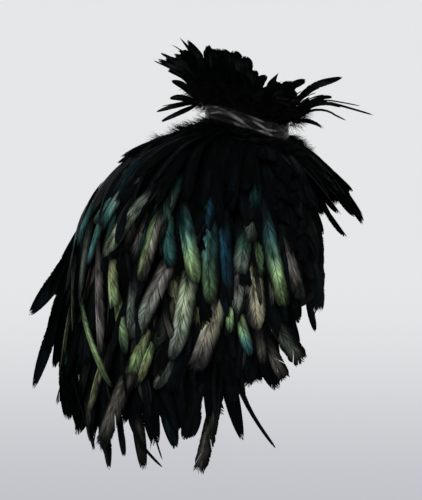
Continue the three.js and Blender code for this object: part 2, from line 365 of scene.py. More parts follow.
VANE_ROWS = (0, 0.07, 0.16, 0.27, 0.39, 0.51, 0.62, 0.72, 0.81, 0.88, 0.94, 0.98, 1)
VANES = {
    Kind.HACKLE: Vane((0.3, 0.5, 0.74, 0.92, 1, 0.98, 0.9, 0.79, 0.65, 0.5, 0.33, 0.17, 0.03), 0.14, 0.1),
    Kind.BROAD: Vane((0.12, 0.32, 0.56, 0.77, 0.91, 0.99, 1, 0.96, 0.86, 0.71, 0.51, 0.3, 0.04), 0.2, 0.09),
    Kind.LEAF: Vane((0.12, 0.34, 0.58, 0.82, 0.97, 1, 0.93, 0.81, 0.65, 0.48, 0.3, 0.15, 0.02), 0.2, 0.12),
    Kind.SPLIT: Vane(
        (0.12, 0.34, 0.58, 0.8, 0.94, 1, 0.99, 0.93, 0.8, 0.64, 0.44, 0.26, 0.04),
        0.15,
        0.13,
        ((5, 1, 0.022), (8, -1, 0.02)),
    ),
    Kind.RAGGED: Vane(
        (0.16, 0.4, 0.6, 0.86, 0.9, 1, 0.92, 0.94, 0.74, 0.7, 0.44, 0.3, 0.04),
        0.12,
        0.2,
        ((4, -1, 0.01), (6, 1, 0.014), (8, -1, 0.014)),
    ),
    Kind.SICKLE: Vane((0.2, 0.42, 0.66, 0.86, 0.98, 1, 0.97, 0.9, 0.79, 0.65, 0.46, 0.26, 0.02), 0.2, 0.07),
    Kind.QUILL: Vane((0.9, 1, 0.85, 0.7, 0.58, 0.5, 0.44, 0.4, 0.37, 0.34, 0.26, 0.15, 0.02), 0.06, 0.03),
}


@dataclass
class Master:
    """A feather modelled once: its corners, in shares of width and length, and its faces."""

    corners: np.ndarray
    faces: np.ndarray


class FeatherBench:
    """Models each kind of feather once, by hand in edit mode.

    Attributes:
        columns: faces across a vane.
        rows: faces along it.
        touch: how near two places on the grid are the same.
        down_barbs: how many barbs a tuft of down has.
        down_width: a barb's width, as a share of the tuft's.
        down_taper: the barb's width at each row, as a share of that.
        down_curl: how far its tip curls up.
        down_fan: how far the tuft fans out to each side.
        down_shortest: its shortest barb.
        down_pitch: how far its steepest barb stands up.
    """

    columns: int = 4
    rows: int = len(VANE_ROWS) - 1
    touch: float = 1e-4
    down_barbs: int = 13
    down_width: float = 0.05
    down_taper: tuple[float, ...] = (1, 0.85, 0.6, 0.15)
    down_curl: float = 0.35
    down_fan: float = 62
    down_shortest: float = 0.62
    down_pitch: float = 0.5

    def __init__(self) -> None:
        """Models every kind."""
        self.masters = {kind: self.model(vane) for kind, vane in VANES.items()}
        self.masters[Kind.DOWN] = self.model_down()

    def near(self, one: float, other: float) -> bool:
        """Returns whether two places on the grid are the same."""
        return abs(one - other) < self.touch

    def pick(self, blank: bpy.types.Object, chosen: Sequence[bool]) -> None:
        """Selects the corners that are chosen and no others."""
        mesh = bmesh.from_edit_mesh(blank.data)
        for corner, wanted in zip(mesh.verts, chosen, strict=True):
            corner.select = wanted
        mesh.select_flush(False)
        bmesh.update_edit_mesh(blank.data)

    def blank(self, columns: int, rows: int) -> bpy.types.Object:
        """Starts a feather as a square grid, one long and one wide, in edit mode."""
        bpy.ops.object.select_all(action="DESELECT")
        bpy.ops.mesh.primitive_grid_add(
            x_subdivisions=columns, y_subdivisions=rows, size=1, location=(0, 0.5, 0)
        )
        bpy.ops.object.transform_apply(location=True, rotation=False, scale=False)
        bpy.ops.object.mode_set(mode="EDIT")
        return bpy.context.active_object

    def lift_off(self, blank: bpy.types.Object) -> Master:
        """Takes the finished feather and clears the bench."""
        bpy.ops.object.mode_set(mode="OBJECT")
        corners = np.array([corner.co for corner in blank.data.vertices])
        faces = np.array([list(face.vertices) for face in blank.data.polygons])
        bpy.data.meshes.remove(blank.data)
        return Master(corners, faces)

    def model(self, vane: Vane) -> Master:
        """Models one feather from a grid.

        Args:
            vane: the cut of the feather.

        Returns:
            The feather, with x across in widths, y along in lengths and z up in widths.
        """
        blank = self.blank(self.columns, self.rows)
        for row, side, _ in vane.notches:
            self.part(blank, row / self.rows, side)
        mesh = bmesh.from_edit_mesh(blank.data)
        square = [corner.co.copy() for corner in mesh.verts]
        centres = [max(face.calc_center_median().y for face in corner.link_faces) for corner in mesh.verts]
        bpy.ops.mesh.select_mode(type="VERT")
        for row, width in enumerate(vane.widths):
            at = row / self.rows
            self.pick(blank, [self.near(place.y, at) for place in square])
            bpy.ops.transform.resize(value=(width, 1, 1), center_override=(0, at, 0))
            bpy.ops.transform.translate(value=(0, VANE_ROWS[row] - at, 0))
            for step in (0.5, 1):
                beside = [self.near(abs(2 * place.x), step) for place in square]
                self.pick(blank, [near and self.near(place.y, at) for near, place in zip(beside, square)])
                reach = step * width
                bpy.ops.transform.translate(value=(0, vane.sweep * reach, -vane.camber * reach**2))
        for row, side, gap in vane.notches:
            at = row / self.rows
            for step in (0.5, 1):
                chosen = [
                    self.near(place.y, at) and self.near(2 * side * place.x, step) and centre < at
                    for place, centre in zip(square, centres)
                ]
                self.pick(blank, chosen)
                bpy.ops.transform.translate(value=(0, -gap * step, -gap * step))
        return self.lift_off(blank)

    def part(self, blank: bpy.types.Object, at: float, side: int) -> None:
        """Cuts the square grid from the shaft to one side.

        Args:
            blank: the grid in edit mode.
            at: the place of the cut along the shaft.
            side: 1 or -1, the side of the shaft.
        """
        bpy.ops.mesh.select_all(action="DESELECT")
        bpy.ops.mesh.select_mode(type="EDGE")
        mesh = bmesh.from_edit_mesh(blank.data)
        for edge in mesh.edges:
            on_line = all(self.near(corner.co.y, at) for corner in edge.verts)
            edge.select = on_line and all(side * corner.co.x > -self.touch for corner in edge.verts)
        bmesh.update_edit_mesh(blank.data)
        bpy.ops.mesh.edge_split(type="EDGE")

    def model_down(self) -> Master:
        """Models one loose barb and copies it into a fan, as a tuft of down."""
        last = len(self.down_taper) - 1
        blank = self.blank(1, last)
        square = [corner.co.copy() for corner in blank.data.vertices]
        for row, width in enumerate(self.down_taper):
            at = row / last
            self.pick(blank, [self.near(place.y, at) for place in square])
            bpy.ops.transform.resize(value=(self.down_width * width, 1, 1), center_override=(0, at, 0))
            bpy.ops.transform.translate(value=(0, 0, self.down_curl * at * at))
        barb = self.lift_off(blank)
        corners, faces = [], []
        for copy in range(self.down_barbs):
            fan = math.radians(-self.down_fan + 2 * self.down_fan * copy / (self.down_barbs - 1))
            # The remainders give neighbours different lengths and pitches.
            length = self.down_shortest + (1 - self.down_shortest) * ((copy * 5) % 7) / 6
            pitch = self.down_pitch * ((copy * 3) % 5) / 4
            x, y, z = barb.corners.T
            aside = x * math.cos(fan) + y * length * math.sin(fan)
            ahead = y * length * math.cos(fan) - x * math.sin(fan)
            corners.append(np.stack([aside, ahead, z + pitch * y], axis=-1))
            faces.append(barb.faces + copy * len(x))
        return Master(np.concatenate(corners), np.concatenate(faces))


@dataclass
class Plume:
    """One feather and how it lies.

    Attributes:
        kind: its cut.
        tones: its colour near the middle and near the tip.
        angle: where its root is round the neck.
        root: the run from the neck to its root.
        length: its length.
        width: its full width.
        lift: how far its root is off the cloth.
        rise: how far its tip stands beyond that.
        ease: how early it rises: 1 is evenly, and less is sooner.
        bow: how far its middle arches out.
        lean: the angle that it leaves the run at.
        sweep: how far its tip curves to the side.
        roll: how far it is turned about its shaft.
        twist: how far it turns further by the tip.
        shade: how much darker painted shade makes one side of the shaft, the right for above zero.
        glow: how bright its sheen is.
        halved: whether the tones lie on its two sides and not along it, as painted sheen that differs
            between sides facing the light differently.
    """

    kind: Kind
    tones: Tones
    angle: float
    root: float
    length: float
    width: float
    lift: float = 4
    rise: float = 24
    ease: float = 1
    bow: float = 0
    lean: float = 0
    sweep: float = 0
    roll: float = 0
    twist: float = 0
    shade: float = 0
    glow: float = 1
    halved: bool = False


@dataclass
class PlumeMesh:
    """Feathers grown on a drape and joined into one mesh."""

    drape: Drape
    bench: FeatherBench
    plumes: list[Plume] = field(default_factory=list)

    def column(self, plumes: list[Plume], name: str) -> np.ndarray:
        """Returns one value of each feather, ready to spread over its corners."""
        return np.array([getattr(plume, name) for plume in plumes], float)[:, None]

    def spine(self, plumes: list[Plume], along: np.ndarray) -> tuple[np.ndarray, np.ndarray, np.ndarray]:
        """Follows each feather's shaft.

        Args:
            plumes: the feathers.
            along: shares of their lengths, one for each corner of the master.

        Returns:
            The points of the shafts in metres, with their angles and runs.
        """
        length = self.column(plumes, "length")
        lean = np.radians(self.column(plumes, "lean"))
        run = self.column(plumes, "root") + length * along * np.cos(lean)
        angle = self.column(plumes, "angle") + 0 * run
        aside = length * along * np.sin(lean) + self.column(plumes, "sweep") * along**2
        angle = angle + self.drape.turn_for(angle, run, aside)
        share = np.clip(along, 1e-3, None)
        risen = share ** self.column(plumes, "ease")
        lift = self.column(plumes, "lift") + self.column(plumes, "rise") * risen
        lift = lift + self.column(plumes, "bow") * 4 * share * (1 - share)
        return self.drape.point(angle, run, lift), angle, run

    def grow(self, plumes: list[Plume], master: Master) -> np.ndarray:
        """Returns the corners of copies of a master, one for each feather, in metres."""
        across, along, up = master.corners.T
        step = 0.02
        centre, angle, run = self.spine(plumes, along[None])
        ahead = self.spine(plumes, along[None] + step)[0]
        behind = self.spine(plumes, along[None] - step)[0]
        forward = unit(ahead - behind)
        side = unit(np.cross(self.drape.normal(angle, run), forward))
        top = np.cross(forward, side)
        roll = np.radians(self.column(plumes, "roll") + self.column(plumes, "twist") * along)[..., None]
        turned_side = side * np.cos(roll) + top * np.sin(roll)
        turned_top = top * np.cos(roll) - side * np.sin(roll)
        width = MM * self.column(plumes, "width")[..., None]
        return centre + width * (turned_side * across[None, :, None] + turned_top * up[None, :, None])

    def colours(self, plumes: list[Plume], master: Master) -> np.ndarray:
        """Returns the painted sheen of every corner, which fades in from a black root, with painted shade on
        one side of some feathers.
        """
        across, along, _ = master.corners.T
        near = np.array([plume.tones[0].linear() for plume in plumes])[:, None]
        far = np.array([plume.tones[1].linear() for plume in plumes])[:, None]
        # Halved feathers take painted sheen of one tone on each side of the shaft.
        halved = self.column(plumes, "halved")
        by_side = smooth(*SIDES_MEET, across)[None]
        by_length = smooth(*TONES_MEET, along)[None]
        share = (halved * by_side + (1 - halved) * by_length)[..., None]
        # Painted shade darkens one side of the shaft, as if the light fell from the other side.
        shade = self.column(plumes, "shade")
        painted_shade = smooth(*SHADE_MEETS, np.sign(shade) * across[None]) * np.abs(shade)
        light = self.column(plumes, "glow") * (1 - painted_shade)
        tip = 1 - TIP_DARKNESS * smooth(*SHEEN_ENDS, along)
        shown = (smooth(*SHEEN_STARTS, along) * tip)[None] * light
        black = Tone.BLACK.linear()
        return black + shown[..., None] * (near + share * (far - near) - black)

    def build(self, name: str) -> bpy.types.Object:
        """Joins all the feathers into one object.

        Args:
            name: the piece's name.

        Returns:
            The object, with its UV map and the attributes that the finishes read.
        """
        points, faces, sheens, barbs, flats = [], [], [], [], []
        start = 0
        for kind, master in self.bench.masters.items():
            plumes = [plume for plume in self.plumes if plume.kind is kind]
            if not plumes:
                continue
            count = len(master.corners)
            points.append(self.grow(plumes, master).reshape(-1, 3))
            offsets = start + count * np.arange(len(plumes))
            faces.append((master.faces[None] + offsets[:, None, None]).reshape(-1, 4))
            sheens.append(self.colours(plumes, master).reshape(-1, 3))
            across, along, _ = master.corners.T
            seeds = (SEED_STEP * np.arange(len(plumes)) + start)[:, None] + 0 * along
            run = self.column(plumes, "length") * along
            out = self.column(plumes, "width") * across
            barbs.append(np.stack([run, out, seeds], -1).reshape(-1, 3))
            flats.append(np.tile(np.stack([across + 0.5, along], -1), (len(plumes), 1)))
            start += count * len(plumes)
        mesh = bpy.data.meshes.new(name)
        mesh.from_pydata(np.concatenate(points), [], np.concatenate(faces).tolist())
        opaque = np.ones((start, 1))
        put_attribute(mesh, "sheen", "FLOAT_COLOR", np.concatenate([np.concatenate(sheens), opaque], axis=1))
        put_attribute(mesh, "barb", "FLOAT_VECTOR", np.concatenate(barbs))
        put_uv(mesh, np.concatenate(flats))
        mesh.shade_smooth()
        piece = bpy.data.objects.new(name, mesh)
        bpy.context.scene.collection.objects.link(piece)
        return piece


def put_attribute(mesh: bpy.types.Mesh, name: str, kind: str, values: np.ndarray) -> None:
    """Stores one value for each corner point of a mesh, under a name that shaders read."""
    attribute = mesh.attributes.new(name, kind, "POINT")
    field_name = "color" if kind == "FLOAT_COLOR" else "vector"
    attribute.data.foreach_set(field_name, values.astype(np.float32).ravel())


def put_uv(mesh: bpy.types.Mesh, flat: np.ndarray) -> None:
    """Lays a mesh out flat: flat holds the place of each point."""
    owners = np.zeros(len(mesh.loops), int)
    mesh.loops.foreach_get("vertex_index", owners)
    mesh.uv_layers.new(name="flat").data.foreach_set("uv", flat[owners].astype(np.float32).ravel())


class Value:
    """A shader socket that Python's operators work on, each adding a Math node."""

    def __init__(self, tree: "Graph", socket: bpy.types.NodeSocket) -> None:
        """Wraps a socket of a graph."""
        self.tree = tree
        self.socket = socket

    def math(self, operation: str, *others: "Value | float") -> "Value":
        """Returns the result of a Math node with this value as its first."""
        inputs = {0: self, **{i + 1: other for i, other in enumerate(others)}}
        return self.tree.node("ShaderNodeMath", {"operation": operation}, inputs)

    def __add__(self, other: "Value | float") -> "Value":
        """Returns the sum."""
        return self.math("ADD", other)

    def __sub__(self, other: "Value | float") -> "Value":
        """Returns the difference."""
        return self.math("SUBTRACT", other)

    def __mul__(self, other: "Value | float") -> "Value":
        """Returns the product."""
        return self.math("MULTIPLY", other)

    def __rsub__(self, other: float) -> "Value":
        """Returns a number less this value."""
        return self.tree.node("ShaderNodeMath", {"operation": "SUBTRACT"}, {0: other, 1: self})

    __radd__ = __add__

    def between(self, low: float, high: float) -> "Value":
        """Returns 0 at low and 1 at high, with a soft step between them, either way round."""
        inputs = {"Value": self, "From Min": low, "From Max": high}
        settings = {"interpolation_type": "SMOOTHSTEP", "clamp": True}
        return self.tree.node("ShaderNodeMapRange", settings, inputs)


class Graph:
    """The node graph of one material, or of the studio's wall."""

    def __init__(self, owner: bpy.types.Material | bpy.types.World) -> None:
        """Starts from the one shader that a new material or world has."""
        owner.use_nodes = True
        self.owner = owner
        self.tree = owner.node_tree
        self.shader = next(node for node in self.tree.nodes if not node.type.startswith("OUTPUT"))

    def put(self, socket: bpy.types.NodeSocket, value: object) -> None:
        """Links a value to a socket, or sets the socket to a number or a colour."""
        if isinstance(value, Value):
            self.tree.links.new(value.socket, socket)
        else:
            socket.default_value = value

    def node(
        self, kind: str, settings: dict[str, object], inputs: dict[object, object], out: object = 0
    ) -> Value:
        """Adds a node.

        Args:
            kind: the node's type.
            settings: its properties, set first.
            inputs: the values or links of its sockets.
            out: the output to return.

        Returns:
            The output, wrapped.
        """
        made = self.tree.nodes.new(kind)
        for name, value in settings.items():
            setattr(made, name, value)
        for name, value in inputs.items():
            self.put(made.inputs[name], value)
        return Value(self, made.outputs[out])

    def attribute(self, name: str, out: str) -> Value:
        """Returns an attribute of the piece."""
        return self.node("ShaderNodeAttribute", {"attribute_name": name}, {}, out)

    def split(self, vector: Value) -> tuple[Value, Value, Value]:
        """Returns the three parts of a vector."""
        made = self.tree.nodes.new("ShaderNodeSeparateXYZ")
        self.put(made.inputs[0], vector)
        return Value(self, made.outputs[0]), Value(self, made.outputs[1]), Value(self, made.outputs[2])

    def vector(self, x: Value | float, y: Value | float, z: Value | float) -> Value:
        """Returns a vector of three parts."""
        return self.node("ShaderNodeCombineXYZ", {}, {0: x, 1: y, 2: z})

    def flat(self) -> tuple[Value, Value]:
        """Returns the place on the piece laid flat, across and along."""
        across, along, _ = self.split(self.node("ShaderNodeUVMap", {"uv_map": "flat"}, {}))
        return across, along

    def noise(self, place: Value, scale: float, detail: float = 2) -> Value:
        """Returns soft noise from 0 to 1 at a place."""
        return self.node("ShaderNodeTexNoise", {}, {"Vector": place, "Scale": scale, "Detail": detail})

    def grain(
        self, along: Value, across: Value, layer: Value | float, size: Pair, detail: float
    ) -> Value:
        """Returns noise that is stretched along a grain.

        Args:
            along: the place along the grain.
            across: the place across it.
            layer: which slice of the noise is shown.
            size: how fine it is, along and across.
            detail: how many finer octaves it has.
        """
        return self.noise(self.vector(along * size[0], across * size[1], layer), 1.0, detail)

    def mix(self, share: Value | float, low: object, high: object) -> Value:
        """Returns a colour between two colours."""
        settings = {"data_type": "RGBA"}
        return self.node("ShaderNodeMix", settings, {0: share, 6: low, 7: high}, 2)

    def bump(self, height: Value, strength: float, distance: float) -> None:
        """Raises the surface by a height."""
        inputs = {"Height": height, "Strength": strength, "Distance": distance}
        self.put(self.shader.inputs["Normal"], self.node("ShaderNodeBump", {}, inputs))

    def finish(self, **values: object) -> bpy.types.Material | bpy.types.World:
        """Sets the shader's sockets, with underscores for spaces, and returns the material."""
        for name, value in values.items():
            self.put(self.shader.inputs[name.replace("_", " ")], value)
        return self.owner


def gray(level: float) -> Colour:
    """Returns a neutral colour."""
    return (level, level, level, 1)


@dataclass(frozen=True)
class FeatherFinish:
    """Vanes of fine barbs whose middle takes a coloured sheen, with dark edges.

    Attributes:
        name: the material's name.
        slot: the name of the slot it stands for, which is not used.
        brightness: how strong the sheen is.
        gloss: how much lower the roughness is where the sheen is.
        metallic: how much the sheen reflects like metal.
        shine: the specular level of the black parts.
        roughness: the roughness of the black parts.
        barb_slant: how far the barbs lean to the tip.
        edge: how far from the shaft the sheen ends, in widths.
        fine: how fine single barbs are, along the shaft and away from it.
        coarse: how fine strands of barbs are.
        parting: how fine the lines are where barbs part.
        patch: how fine the patches of sheen are.
        black: the colour without sheen.
    """

    name: str
    slot: str
    brightness: float
    gloss: float
    metallic: float
    shine: float = 0.02
    roughness: float = 0.6
    barb_slant: float = 1.9
    edge: float = 0.47
    fine: Pair = (0.95, 0.07)
    coarse: Pair = (0.24, 0.1)
    parting: Pair = (0.4, 0.06)
    patch: Pair = (0.03, 0.09)
    black: Colour = (0.0005, 0.0008, 0.0009, 1)

    def make(self) -> bpy.types.Material:
        """Returns the material."""
        graph = Graph(bpy.data.materials.new(self.name))
        run, across, seed = graph.split(graph.attribute("barb", "Vector"))
        out = across.math("ABSOLUTE")
        place, along = graph.flat()
        side = (place - 0.5).math("ABSOLUTE")
        barb = run - out * self.barb_slant
        # Each half of the vane and each use of the noise has a layer of its own.
        half = seed + across.math("GREATER_THAN", 0.0) * 13
        fine = graph.grain(barb, out, half, self.fine, 1)
        coarse = graph.grain(barb, out, half + 31, self.coarse, 2)
        parting = graph.grain(barb, out, half + 57, self.parting, 0)
        patch = graph.grain(run, across, seed + 7, self.patch, 3)
        # Streaks, partings, patches, the shaft and a ragged border dim the sheen.
        streaks = (0.36 + fine.between(0.32, 0.68) * 0.64) * (0.44 + coarse.between(0.34, 0.64) * 0.56)
        gaps = 1 - parting.between(0.62, 0.7) * 0.5
        ragged = (coarse - 0.5) * 0.3
        middle = (side + ragged).between(self.edge, 0.12)
        shaft = 0.3 + out.between(0.1, 1.2) * 0.7
        lit = streaks * gaps * middle * shaft * (0.12 + patch.between(0.32, 0.64) * 0.88)
        # The vane is cut away unevenly at its edge and at its tip.
        barbs_end = (side + (fine - 0.5) * 0.16 + (coarse - 0.5) * 0.2).between(0.5, 0.44)
        tip_end = (along + (fine - 0.5) * 0.12 + (coarse - 0.5) * 0.14).math("LESS_THAN", 0.985)
        sheen = graph.attribute("sheen", "Color")
        settings = {"operation": "SCALE"}
        bright = graph.node("ShaderNodeVectorMath", settings, {0: sheen, "Scale": self.brightness})
        graph.bump(fine * 0.5 + coarse, 0.45, 0.0007)
        return graph.finish(
            Base_Color=graph.mix(lit, self.black, bright),
            Roughness=self.roughness - lit * self.gloss,
            Metallic=lit * self.metallic,
            Alpha=barbs_end.math("GREATER_THAN", 0.5) * tip_end,
            Specular_IOR_Level=self.shine,
        )


@dataclass(frozen=True)
class DownFinish:
    """Matt black fluff, between two near blacks."""

    name: str = "down_black"
    slot: str = "hackle"
    tuft_scale: float = 220
    dark: Colour = (0.0012, 0.0014, 0.0018, 1)
    light: Colour = (0.004, 0.0045, 0.0055, 1)

    def make(self) -> bpy.types.Material:
        """Returns the material."""
        graph = Graph(bpy.data.materials.new(self.name))
        place = graph.node("ShaderNodeTexCoord", {}, {}, "Object")
        colour = graph.mix(graph.noise(place, self.tuft_scale), self.dark, self.light)
        return graph.finish(Base_Color=colour, Roughness=0.95, Specular_IOR_Level=0.08)


@dataclass(frozen=True)
class SatinFinish:
    """Black satin with a fine weft and soft crumples, with a painted highlight on its crests that the
    crumples break up.
    """

    name: str = "satin_black"
    slot: str = "satin"
    weft_scale: float = 9000
    crumples: Pair = (46, 90)
    crests: Pair = (0.6, 1.8)
    dark: Colour = (0.0015, 0.0015, 0.0018, 1)
    light: Colour = (0.19, 0.187, 0.182, 1)

    def make(self) -> bpy.types.Material:
        """Returns the material."""
        graph = Graph(bpy.data.materials.new(self.name))
        along, up = graph.flat()
        weft = (up * self.weft_scale).math("SINE") * 0.5 + 0.5
        crumple = graph.grain(along, up, 0.0, self.crumples, 2)
        crest = graph.split(graph.attribute("crest", "Vector"))[0]
        # Painted highlight: the relief's crests are coloured light grey, more so where the crumple noise is
        # high.
        lit = crest.between(*self.crests) * (0.4 + crumple.between(0.4, 0.65) * 0.6)
        colour = graph.mix(lit, self.dark, self.light)
        graph.bump(crumple + weft * 0.03, 0.2, 0.0012)
        return graph.finish(Base_Color=colour, Roughness=0.3 + crumple * 0.12, Specular_IOR_Level=0.1)


@dataclass(frozen=True)
class ClothFinish:
    """Matt black plain weave, a little worn."""

    name: str = "cloth_black"
    slot: str = "cloth"
    weave_scale: float = 5200
    wear: Pair = (40, 40)
    dark: Colour = (0.0012, 0.0012, 0.0015, 1)
    light: Colour = (0.0035, 0.0035, 0.004, 1)

    def make(self) -> bpy.types.Material:
        """Returns the material."""
        graph = Graph(bpy.data.materials.new(self.name))
        along, up = graph.flat()
        weave = (along * self.weave_scale).math("SINE") * (up * self.weave_scale).math("SINE")
        worn = graph.grain(along, up, 0.0, self.wear, 3)
        colour = graph.mix(worn, self.dark, self.light)
        graph.bump(weave * 0.5 + worn, 0.35, 0.0005)
        return graph.finish(Base_Color=colour, Roughness=0.9, Specular_IOR_Level=0.03)


@dataclass(frozen=True)
class PaperFinish:
    """The plain pale studio floor."""

    name: str = "studio_paper"

    def make(self) -> bpy.types.Material:
        """Returns the material."""
        graph = Graph(bpy.data.materials.new(self.name))
        place = graph.node("ShaderNodeTexCoord", {}, {}, "Object")
        colour = graph.mix(graph.noise(place, 3, 1), gray(0.74), gray(0.8))
        return graph.finish(Base_Color=colour, Roughness=0.9)


def dress(piece: bpy.types.Object, material: bpy.types.Material, nodes: Sequence[str]) -> None:
    """Gives a piece its finish, ties it to the garment and hides the CAD nodes it stands for."""
    piece.data.materials.clear()
    piece.data.materials.append(material)
    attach(piece, BODY)
    if nodes:
        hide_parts(*nodes)
    log.info("%s: %d faces, for %s", piece.name, len(piece.data.polygons), ", ".join(nodes) or "no node")


def sheet_from(
    name: str,
    across: int,
    up: int,
    place: Callable[[np.ndarray, np.ndarray], np.ndarray],
    flat: Sequence[float],
) -> bpy.types.Object:
    """Bends a flat grid of cloth into a garment piece.

    Args:
        name: the piece's name.
        across: faces along its width.
        up: faces along its length.
        place: where each point goes, from its shares of the width and the length, in metres.
        flat: the cut's width and length in metres, which its UV map holds.

    Returns:
        The thin sheet, with no thickness yet.
    """
    bpy.ops.object.select_all(action="DESELECT")
    bpy.ops.mesh.primitive_grid_add(x_subdivisions=across, y_subdivisions=up, size=1, location=(0, 0, 0))
    piece = bpy.context.active_object
    piece.name = piece.data.name = name
    shares = np.array([corner.co[:2] for corner in piece.data.vertices]) + 0.5
    for layer in list(piece.data.uv_layers):
        piece.data.uv_layers.remove(layer)
    put_uv(piece.data, shares * np.array(flat))
    points = place(shares[:, 0], shares[:, 1])
    piece.data.vertices.foreach_set("co", points.astype(np.float32).ravel())
    piece.data.update()
    piece.data.shade_smooth()
    return piece


def weld(piece: bpy.types.Object) -> None:
    """Joins the points where a sheet meets itself all round, with its faces turned one way."""
    bpy.context.view_layer.objects.active = piece
    bpy.ops.object.mode_set(mode="EDIT")
    bpy.ops.mesh.select_all(action="SELECT")
    bpy.ops.mesh.remove_doubles(threshold=WELD)
    bpy.ops.mesh.normals_make_consistent(inside=False)
    bpy.ops.object.mode_set(mode="OBJECT")


def thicken(piece: bpy.types.Object, thickness: float, offset: float) -> None:
    """Gives a sheet its thickness in metres, on one side of it or the other."""
    bpy.context.view_layer.objects.active = piece
    wall = piece.modifiers.new("wall", "SOLIDIFY")
    wall.thickness = thickness
    wall.offset = offset
    bpy.ops.object.modifier_apply(modifier=wall.name)
    bpy.ops.object.mode_set(mode="EDIT")
    bpy.ops.mesh.select_all(action="DESELECT")
    bpy.ops.mesh.edges_select_sharp(sharpness=math.radians(SHARP_BEND))
    bpy.ops.mesh.mark_sharp()
    bpy.ops.object.mode_set(mode="OBJECT")


def cloth_area(piece: bpy.types.Object) -> float:
    """Returns the area of a sheet in square metres."""
    return sum(face.area for face in piece.data.polygons)


@dataclass(frozen=True)
class Fold:
    """One soft ridge pressed into the satin, along a slanting line.

    Attributes:
        angle: its middle, in degrees round the neck.
        share: its middle, as a share of the band's height.
        slant: how far it climbs, in shares of the height, over its length.
        length: its length in degrees.
        height: how far it stands out, in millimetres, or in if below zero.
    """

    angle: float
    share: float
    slant: float
    length: float
    height: float


